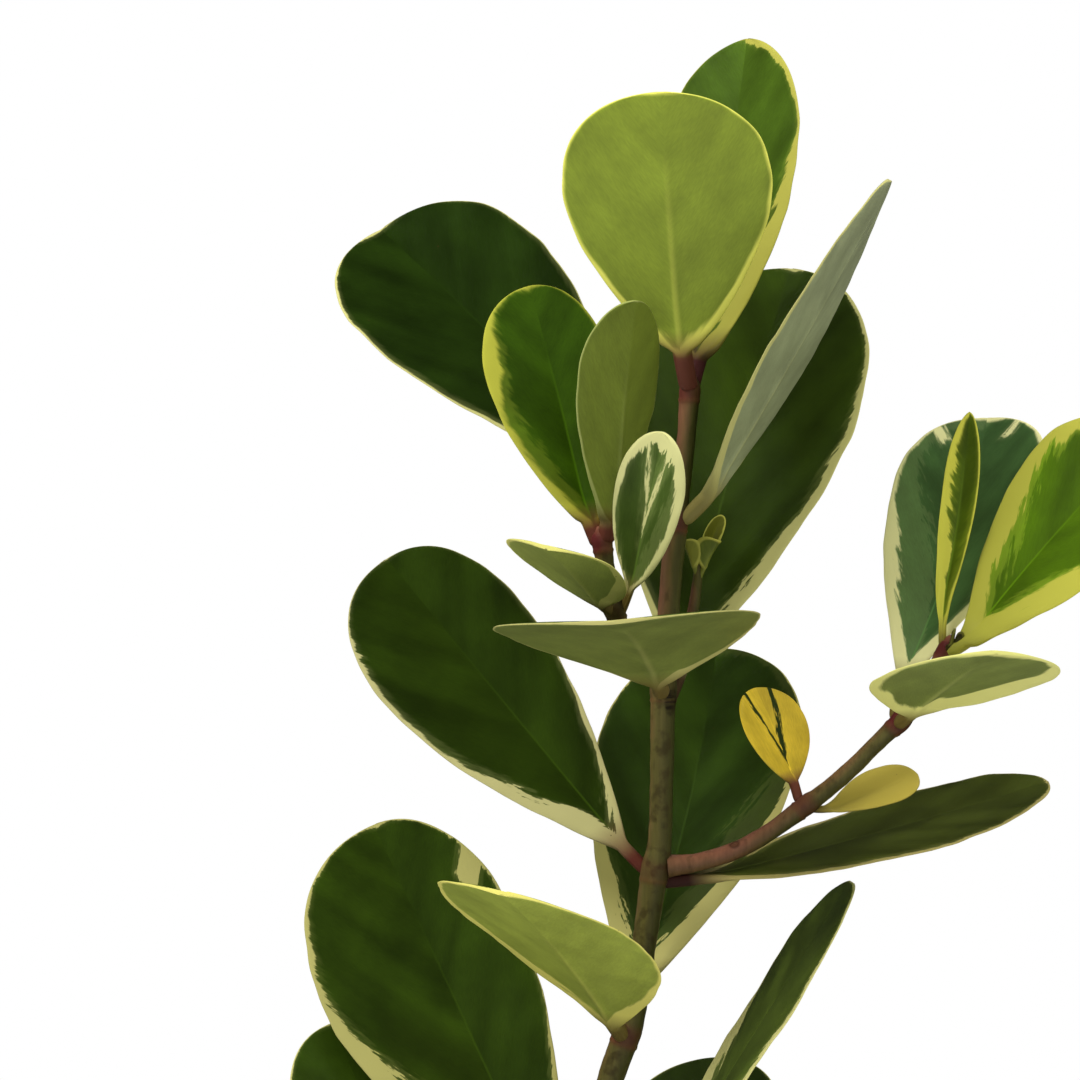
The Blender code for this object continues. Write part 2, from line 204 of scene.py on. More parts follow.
# %% Light, backdrop and floor
LAMPS = {                      # square soft lamps: place in metres, size and power
    "lamp_above_left": ((-0.9, -0.5, 1.7), 1.0, 26), "lamp_above_right": ((1.1, -0.2, 1.5), 1.0, 12),
    "lamp_front_low": ((-0.4, -1.9, 0.2), 1.2, 9), "lamp_behind": ((0.3, 1.5, 1.3), 1.2, 10),
}
PLANT_MIDDLE = Vector((0.0, 0.0, 0.4))
for name, (place, size, power) in LAMPS.items():
    lamp_data = bpy.data.lights.new(name, "AREA")
    lamp_data.size, lamp_data.energy = size, power
    lamp = show(name, lamp_data)
    lamp.location = place
    lamp.rotation_euler = (PLANT_MIDDLE - Vector(place)).to_track_quat("-Z", "Y").to_euler()
    lamp.visible_glossy = False      # the gloss of the leaves doesn't mirror it

world = bpy.data.worlds.new("studio")
bpy.context.scene.world = world
world.use_nodes = True
studio = world.node_tree
studio.nodes.clear()
ray = add(studio, "LightPath").outputs
room = add(studio, "Background", linear("f4f6f4"), 0.5)
dark_room = add(studio, "Background", linear("f4f6f4"), 0.02)
white = add(studio, "Background", linear("ffffff"), 1.0)
mirrored = add(studio, "MixShader", ray["Is Glossy Ray"], room, dark_room)
backdrop = add(studio, "MixShader", ray["Is Camera Ray"], mirrored, white)
add(studio, "OutputWorld", backdrop)

disc = bmesh.new()
bmesh.ops.create_circle(disc, cap_ends=True, segments=96, radius=1.3)
floor = show("floor", mesh_of("floor", disc))
floor.visible_glossy = False
floor_paint, _, floor_shader = new_skin("matte_studio_floor")
feed(floor_shader, {"Base Color": linear("e9e9e6"), "Roughness": 0.9})
floor.data.materials.append(floor_paint)
bpy.context.scene.view_settings.view_transform = "Standard"
print("lamps, backdrop and floor ready")

# %% [markdown]
# ## One rule for every leaf
# All the leaves of this plant follow one rule: a short round petiole widens into a thick blade whose
# outline rises slowly from the base and closes in a blunt arc. So one Geometry Nodes tree makes them
# all. It starts from a closed sphere, which has two sides and no open edge, and moves each point:
# the height on the sphere becomes the place along the leaf, and the place round it the place across.
# Width, fold, arch and twist are inputs, so each leaf gets its own numbers.

# %% The leaf tree
BLADE_THICKNESS = 1.2          # mm; the tiniest leaves are thinner
PETIOLE_RADIUS = 1.5           # of the solids, mm; the fine petioles are stouter on larger leaves
FOLD_SOFTNESS = 2.0
STATIONS = (0.08, 0.3, 0.5, 0.72, 0.94)   # where the cream margin's width is given along the blade

BLADE_NUMBERS = {              # the inputs of the leaf tree and where they start
    "Length": 100.0, "Bend": 0.1, "Outline Height": 40.0, "Petiole": 8.0, "Low": 1.0, "High": 0.5,
    "Skew": 0.0, "Sweep": 0.0, "Fold": 0.1, "Twist": 0.0, "Seed": 0.0, "Wave": 0.8,
    "Petiole Radius": 1.5, "Rib Depth": 0.6, "Tear": 1.0, "Cloud": 0.5, "Softness": 0.3,
    "Halo Left": 1.0, "Halo Right": 1.0, "Thickness": 1.2, "Lobe": 0.0, "Settle": 6.0,
    "Faces Round": 72, "Faces Along": 90,
}
SIDES = ("Left", "Right")      # of the midrib, seen from above with the tip away
BLADE_VECTORS = ("Root Shift", "Vein Across", "Vein Along", "Streak 1", "Streak 2")
BLADE_COLOURS = ("Upper Green", "Under Green", "Cream", "Petiole Colour")


def new_tree(name, numbers, **others):
    """An empty Geometry Nodes tree. Its named inputs are numbers with their defaults, and others by type.
    Gives it with a function that adds a node to it, and with its inputs."""
    tree = bpy.data.node_groups.new(name, "GeometryNodeTree")
    typed = {label: kind for kind, labels in others.items() for label in labels}
    typed.update((label, "Int" if isinstance(start, int) else "Float") for label, start in numbers.items())
    for label, kind in {**typed, "Material": "Material"}.items():
        socket = tree.interface.new_socket(name=label, in_out="INPUT", socket_type="NodeSocket" + kind)
        if label in numbers:
            socket.default_value = numbers[label]
    tree.interface.new_socket(name="Geometry", in_out="OUTPUT", socket_type="NodeSocketGeometry")
    return tree, partial(add, tree), tree.nodes.new("NodeGroupInput").outputs


def end_tree(put, ask, made):
    """End a tree in Realize Instances and Set Material, so that the result is a plain mesh."""
    put("GroupOutput", put("SetMaterial", put("RealizeInstances", made), {"Material": ask["Material"]}))


def make_leaf_tree():
    """The rule that turns a sphere into a leaf, in mm, with the leaf's length along +Y."""
    creams = {f"Cream {side} {number + 1}": 1.0 for side in SIDES for number in range(len(STATIONS))}
    tree, put, ask = new_tree("leaf_blade", {**BLADE_NUMBERS, **creams}, Color=BLADE_COLOURS,
                              Vector=BLADE_VECTORS)
    made = put("MeshUVSphere", ask["Faces Round"], ask["Faces Along"])
    ball = put("SeparateXYZ", put("InputPosition")).outputs

    # Where the point lies along the leaf, in mm, and along the blade alone, from 0 to 1
    share = put("*", put("-", 1.0, ball["Z"]), 0.5)
    run = put("*", share, ask["Length"])
    blade = put("ramp", run, ask["Petiole"], ask["Length"])

    # Where it lies across: -1 at one margin, 0 on the midrib, 1 at the other margin. The power draws
    # more points to the midrib, which needs them.
    ring = put("length", put("xyz", ball["X"], ball["Y"]))
    plain = put("/", ball["X"], ring)
    reach = put("**", put("abs", plain), 1.5)
    hand = put("sign", plain)
    across = put("*", hand, reach)
    side = put("ramp", put("/", ball["Y"], ring), -0.08, 0.08, -1.0, 1.0)

    # Half the width: the outline's rule with a slight wobble, and never less than the petiole
    left_over = put("-", 1.0, blade)
    outline = put("*", put("**", blade, ask["Low"]), put("**", left_over, ask["High"]))
    outline_mm = put("*", outline, ask["Outline Height"])
    wobble_place = put("xyz", put("*", run, 0.06), put("*", hand, 3.0), ask["Seed"])
    wobble_size = put("ramp", put("noise", wobble_place, 1.0, 1.0), 0.25, 0.75, 0.975, 1.02)
    # Many blades end in two short rounded lobes beside the petiole
    lobe_rise = put("soft ramp", run, ask["Petiole"], put("+", ask["Petiole"], 4.0))
    lobe_here = put("*", lobe_rise, put("**", left_over, 2.0))
    half_free = put("*", put("*+", lobe_here, ask["Lobe"], outline_mm), wobble_size)
    # The root is slimmer, so that it comes out of the stem without an edge
    stalk = put("*", put("soft ramp", run, 0.0, 2.5, 0.5, 1.0), ask["Petiole Radius"])
    half = put("max", half_free, put("*", stalk, put("Math.LESS_THAN", blade, 0.5)))
    wide = put("*", put("*", half, put("*+", ask["Skew"], across, 1.0)), across)

    # The section: round in the petiole, flat with rounded edges in the blade
    crisp = put("ramp", blade, 0.0, 0.11)
    reach_power = put("**", reach, put("*+", crisp, 6.0, 2.0))
    body = put("**", put("-", 1.0, reach_power), 0.5)
    thick = put("ramp", crisp, 0.0, 1.0, stalk, put("*", ask["Thickness"], 0.5))
    sheet = put("*", put("*", thick, body), side)

    # The fold along the midrib, a slow wave of the margins, and the midrib itself: a shallow groove
    # above and a ridge below, both fading towards the tip
    fold_reach = put("length", put("xyz", wide, FOLD_SOFTNESS))
    fold = put("*", put("-", fold_reach, FOLD_SOFTNESS), ask["Fold"])
    wave_place = put("xyz", put("*", run, 0.045), across, ask["Seed"])
    wave_part = put("*", put("-", put("noise", wave_place, 1.0, 2.0), 0.5), put("*", reach, reach))
    wave = put("*", wave_part, put("*", ask["Wave"], 4.0))
    from_rib = put("abs", wide)
    rib_fade = put("ramp", blade, 0.15, 0.95, 1.0, 0.1)
    rib_here = put("*", put("soft ramp", from_rib, 0.0, 2.2, 1.0, 0.0), rib_fade)
    rib_sided = put("*", rib_here, put("ramp", side, -1.0, 1.0, 1.0, 0.45))
    free_high = put("+", put("+", sheet, fold), wave)
    high = put("-", free_high, put("*", put("*", rib_sided, crisp), ask["Rib Depth"]))

    # Sweep to one side, then twist about the length
    swept = put("*+", put("*", blade, left_over), put("*", ask["Sweep"], 4.0), wide)
    turn = put("*", put("-", blade, 0.5), ask["Twist"])
    twisted = put("VectorRotate.Y_AXIS", put("xyz", swept, 0.0, high), {"Angle": turn})
    twisted = put("SeparateXYZ", twisted).outputs

    # Lay the leaf on an arc. The arc's radius is the length over the bend.
    radius = put("/", ask["Length"], ask["Bend"])
    angle = put("*", put("-", 0.5, share), ask["Bend"])
    arm_place = put("xyz", 0.0, 0.0, put("+", radius, twisted["Z"]))
    arm_turned = put("VectorRotate.X_AXIS", arm_place, {"Angle": angle})
    half_bend = put("*", ask["Bend"], 0.5)
    first_turned = put("VectorRotate.X_AXIS", put("xyz", 0.0, 0.0, radius), {"Angle": half_bend})
    aside = put("xyz", twisted["X"])
    free_place = put("VectorMath.ADD", put("VectorMath.SUBTRACT", arm_turned, first_turned), aside)
    # The root bends over to its joint on the stem
    root_share = put("ramp", run, 0.0, put("+", ask["Petiole"], ask["Settle"]), 1.0, 0.0)
    root_move = put("scale", ask["Root Shift"], put("**", root_share, 2.0))
    place = put("VectorMath.ADD", free_place, root_move)

    # How far the point is from the margin, and how wide the cream is there
    side_gap = put("*", half, put("-", 1.0, reach))
    edge = put("Math.SMOOTH_MIN", side_gap, put("-", ask["Length"], run), 2.0)
    widths = {}
    for name in SIDES:
        widths[name] = ask[f"Cream {name} 1"]
        for number in range(1, len(STATIONS)):
            step = put("-", ask[f"Cream {name} {number + 1}"], ask[f"Cream {name} {number}"])
            passed = put("soft ramp", blade, STATIONS[number - 1], STATIONS[number])
            widths[name] = put("*+", step, passed, widths[name])
    right_share = put("ramp", across, -0.15, 0.15)
    cream = put("Mix.FLOAT", right_share, widths["Left"], widths["Right"])
    halo_fade = put("ramp", blade, 0.45, 0.85, 1.0, 0.3)
    halo = put("*", put("Mix.FLOAT", right_share, ask["Halo Left"], ask["Halo Right"]), halo_fade)

    # The side veins: along one of them the first number stays the same, and the second one grows
    vein_place = put("xyz", run, from_rib, put("*", from_rib, from_rib))
    vein = put("VectorMath.DOT_PRODUCT", vein_place, ask["Vein Across"])
    out = put("VectorMath.DOT_PRODUCT", vein_place, ask["Vein Along"])
    # Cream streaks that run inwards along the veins: vein, half width (negative on the left) and depth
    streaks = []
    for number in (1, 2):
        ask_streak = put("SeparateXYZ", ask[f"Streak {number}"]).outputs
        in_band = put("-", put("abs", ask_streak["Y"]), put("abs", put("-", vein, ask_streak["X"])))
        in_both = put("min", in_band, put("-", ask_streak["Z"], edge))
        same_hand = put("*", put("sign", ask_streak["Y"]), hand)
        streaks.append(put("+", in_both, put("ramp", same_hand, 0.0, 1.0, -25.0, 0.0)))
    streak = put("max", streaks[0], streaks[1])

    # The material reads these: place on the leaf; margin, cream width and side; share of the blade
    # and how much is petiole. They are stored before the points move, because a field is worked out
    # again from the points wherever it is used.
    stalk_share = put("ramp", crisp, 0.0, 1.0, 1.0, 0.0)
    for name, three in (("leaf_place", (wide, run, ask["Seed"])), ("leaf_zone", (edge, cream, side)),
                        ("leaf_part", (blade, stalk_share, ask["Tear"])),
                        ("leaf_veins", (vein, out, ask["Cloud"])),
                        ("leaf_marks", (streak, halo, ask["Softness"]))):
        made = put("StoreNamedAttribute.FLOAT_VECTOR", made, {"Name": name, "Value": put("xyz", *three)})
    for label in BLADE_COLOURS:
        name = label.lower().replace(" ", "_")
        made = put("StoreNamedAttribute.FLOAT_COLOR", made, {"Name": name, "Value": ask[label]})
    made = put("SetPosition", made, {"Position": place})
    end_tree(put, ask, put("SetShadeSmooth", made))
    return tree


leaf_tree = make_leaf_tree()
print("leaf tree:", len(leaf_tree.nodes), "nodes")

# %% [markdown]
# ## The skin of a leaf
# A clusia leaf is thick and covered with a smooth waxy cuticle. Its green is not even: broad soft
# bands and fine streaks follow the side veins, which leave the midrib at a sharp angle and run out
# to the margin. Where the leaf makes no green it is cream, mostly along the margin, and the border
# between the two is torn into teeth along the same veins. So every pattern here is drawn in the
# leaf's own coordinates: across and along it in millimetres, slanted like the veins.

# %% The leaf material
WAXY_IOR = 1.42


def make_leaf_skin(name, upper_roughness, under_roughness):
    """Waxy cuticle over green and cream tissue: smooth and glossy above, matte beneath."""
    skin, put, shader = new_skin(name)
    stored, read = {}, {}
    for label in ("leaf_place", "leaf_zone", "leaf_part", "leaf_veins", "leaf_marks"):
        stored[label] = put("Attribute", attribute_name=label).outputs["Vector"]
        read[label] = put("SeparateXYZ", stored[label]).outputs
    place, zone, part = read["leaf_place"], read["leaf_zone"], read["leaf_part"]
    veins, marks = read["leaf_veins"], read["leaf_marks"]
    paint = {label: put("Attribute", attribute_name=label).outputs["Color"]
             for label in ("upper_green", "under_green", "cream", "petiole_colour")}
    is_upper = put("ramp", zone["Z"], -0.4, 0.4)

    # Noise that is drawn out along the side veins: broad bands, teeth, and threads
    aside = put("abs", place["X"])
    seed_hand = put("*+", put("sign", place["X"]), 7.3, place["Z"])
    drawn_out = put("xyz", veins["X"], put("*", veins["Y"], 0.16), seed_hand)
    broad = put("noise", drawn_out, 0.1, 1.5)
    patch = put("noise", drawn_out, 0.21, 1.0)
    teeth = put("noise", drawn_out, 0.8, 3.0, 0.62)
    thread = put("noise", drawn_out, 2.7, 2.0)
    mottle = put("noise", stored["leaf_place"], 0.07, 2.0)

    # Cream where the point is nearer to the margin than a torn width, and in the streaks
    reach = put("*", zone["Y"], put("ramp", patch, 0.32, 0.68, 0.72, 1.28))
    torn = put("ramp", teeth, 0.3, 0.7, -1.0, 1.0)
    torn_here = put("ramp", broad, 0.35, 0.65, 0.25, 1.5)
    torn_sized = put("*", put("ramp", zone["Y"], 0.2, 5.0, 0.1, 1.3), torn_here)
    torn_own = put("*", put("ramp", is_upper, 0.0, 1.0, 0.3, 1.0), part["Z"])
    torn_reach = put("*+", torn, put("*", torn_sized, torn_own), reach)
    softness = put("*", marks["Z"], -1.0)
    at_margin = put("soft ramp", put("-", zone["X"], torn_reach), softness, marks["Z"], 1.0, 0.0)
    streak_torn = put("*+", torn, 0.9, marks["X"])
    is_cream = put("max", at_margin, put("soft ramp", streak_torn, softness, marks["Z"]))
    # A half-tone layer, paler than the green, reaches further in than the cream and has a soft end. It is
    # real half-tone on most leaves; on the fifth back leaf it is a painted sheen, and on the right middle
    # back leaf partly one.
    halo_reach = put("*+", put("*+", torn, 0.35, 1.0), marks["Y"], torn_reach)
    halo_in = put("max", put("-", halo_reach, zone["X"]), put("+", streak_torn, 1.2))
    is_half_tone_and_sheen = put("soft ramp", halo_in, -1.2, 1.0, 0.0, veins["Z"])

    # The greens, with broad bands, uneven light patches and fine threads
    fine = put("ramp", thread, 0.3, 0.7, 0.91, 1.09)
    tone = put("*", put("ramp", broad, 0.3, 0.7, 0.74, 1.32), fine)
    tone = put("*", tone, put("ramp", mottle, 0.3, 0.7, 0.84, 1.18))
    upper_tone = put("scale", paint["upper_green"], tone)
    under_band = put("*", put("ramp", mottle, 0.3, 0.7, 0.88, 1.1), fine)
    under_band = put("*", under_band, put("ramp", patch, 0.3, 0.7, 0.93, 1.07))
    under_tone = put("scale", paint["under_green"], under_band)
    # The paler green of the half-tone layer, which on some leaves is a painted sheen
    half_tone_and_sheen_paint = put("mix", 0.16, put("scale", upper_tone, 1.6), paint["cream"])
    upper_half = put("mix", is_half_tone_and_sheen, upper_tone, half_tone_and_sheen_paint)
    # The midrib shows as a thin lighter line above and as a pale ridge below
    rib_fade = put("ramp", part["X"], 0.05, 0.8, 1.0, 0.0)
    rib_upper = put("*", put("soft ramp", aside, 0.12, 0.5, 0.85, 0.0), rib_fade)
    upper_rib = put("mix", rib_upper, upper_half, put("scale", paint["upper_green"], 2.2))
    ridge_fade = put("*", put("soft ramp", aside, 0.2, 1.5, 0.28, 0.0), rib_fade)
    green = put("mix", is_upper, put("mix", ridge_fade, under_tone, paint["cream"]), upper_rib)
    with_cream = put("mix", is_cream, green, paint["cream"])
    # The very edge is thin and lets light through, so it is paler all round
    rim = put("soft ramp", zone["X"], 0.1, 0.5, 0.55, 0.0)
    rim = put("*", rim, put("*", zone["Y"], 5.0, use_clamp=True))
    with_rim = put("mix", rim, with_cream, paint["cream"])
    with_stalk = put("mix", part["Y"], with_rim, paint["petiole_colour"])
    # Sparse brown corky dots, about a third of a millimetre across
    dots = put("TexVoronoi", put("TexCoord").outputs["Object"], 150.0)
    dot_size = put("SeparateColor", dots.outputs["Color"]).outputs["Red"]
    dot_gap = put("-", dots, put("ramp", dot_size, 0.8, 1.0, 0.0, 0.055))
    colour = put("mix", put("ramp", dot_gap, -0.01, 0.0, 0.7, 0.0), with_stalk, linear("3a2a14"))

    gloss = put("ramp", zone["Z"], -1.0, 1.0, under_roughness, upper_roughness)
    # Fine veins and the skin's own grain, as relief
    relief = put("*+", teeth, 1.2, put("*", thread, 0.6))
    bump = put("Bump", {"Strength": 0.15, "Distance": 0.00025, "Height": relief})
    feed(shader, {"Base Color": colour, "Roughness": gloss, "IOR": WAXY_IOR, "Normal": bump})
    return skin


waxy_leaf = make_leaf_skin("waxy_leaf_cuticle", 0.36, 0.55)
print("leaf skin:", len(waxy_leaf.node_tree.nodes), "nodes")

# %% [markdown]
# ## The leaves themselves
# Each leaf has a row: where its petiole leaves the stem, where its tip is, its width, how it bends,
# and how wide the cream is along its left and right margin, seen from above with the tip away.
# These are the same numbers that shape the solids, so the fine leaves lie where the plain ones do.

# %% The stems' routes and the leaves' rows
ROUTES = {
    "main_stem": [
        (0, 0, 77, 4.8), (0, 0, 105, 4.8), (0, 0, 137, 4.9), (-1, 0, 160, 4.6), (-1, 0, 182, 5.0),
        (-1, 0, 190, 4.5), (0, 0, 215, 4.4), (1, 0, 239, 4.8), (2, 0, 247, 4.3), (4, 0, 285, 4.2),
        (11, 0, 308, 4.6), (14, 0, 320, 4.1), (17, 0, 340, 4.1), (19.5, 0, 357, 4.5),
        (21, 0, 366, 4.0), (21.5, 0, 384, 3.9), (22, 0, 411, 4.2), (22.5, 0, 419, 3.8),
        (24, 0, 440, 3.7), (26, 0, 462, 4.0), (27, 0, 469, 3.6), (29, 0, 488, 3.5),
        (30, 0, 501, 3.7), (30.3, 0, 504.5, 2.4), (30.4, 0, 506.5, 1.0),
    ],
    "right_branch": [
        (25.7, 0, 358.4, 3.4), (28, 0, 358.6, 3.4), (33, 0, 359.4, 3.3), (44, 0, 363, 3.3),
        (54, 0, 368.5, 3.2), (65, 0, 376.5, 3.5), (69, 0, 379.5, 3.2), (78, 0, 387, 3.1),
        (87, 0, 396, 3.1), (93, 0, 401.5, 3.5), (96, 0, 405, 3.1), (100, 0, 411, 3.0),
        (107, 0, 423.5, 3.1), (108, 0, 426, 2.2), (108.5, 0, 427.5, 1.0),
    ],
    "upper_left_branch": [
        (20.1, -4.2, 417.3, 2.3), (17.5, -9, 418.4, 2.3), (13, -18, 423, 2.3), (9, -25, 429.5, 2.3),
        (6.5, -29, 436, 2.6), (5.5, -30, 441, 2.3), (4, -30, 449, 2.3), (3, -30, 456, 2.6),
        (2.8, -30, 458.5, 1.6), (2.7, -30, 460, 0.8),
    ],
    "lower_left_branch": [
        (-5.8, -3.6, 187, 2.7), (-9, -6, 188.3, 2.7), (-20, -9, 196, 2.7), (-33, -9, 207, 2.7),
        (-42, -8, 219, 3.1), (-44.5, -10, 225, 2.6), (-47, -14, 238, 2.5), (-48, -17, 246, 2.8),
        (-48.3, -18, 248.8, 1.7), (-48.5, -18.6, 250.2, 0.8),
    ],
}
SOLID_GAP = 0.3                # how far the solid petioles stay clear of their stems, mm

NO_MARGIN = (-1,) * 5
COMMON = dict(                 # what most leaves share: form in mm and degrees, then paint
    roll=0, arch=10, fold=8, low=1.0, high=0.5, skew=0, twist=0, sweep=0, petiole=8, lobe=0,
    thick=BLADE_THICKNESS, stalk=0, drop=2, settle=6,
    upper="2a3d07", under="6f7d34", cream="c8c37a", skin="6a5a2a", tear=1.0, cloud=0.5, veins=53,
    wave=0.8, soft=0.3, halo=(1.5, 1.5), streaks=(),
    left=(4, 2.5, 1.5, 0.8, 0.4), right=(4, 2.5, 1.5, 0.8, 0.4),
)


def leaf_row(stem, index, rise, tip, width, **own):
    """The stem, the number of its route's point and how far above it the petiole is; the blade's tip
    and width; and the leaf's own numbers over the common ones."""
    return stem, index, rise, Vector(tip), width, {**COMMON, **own}


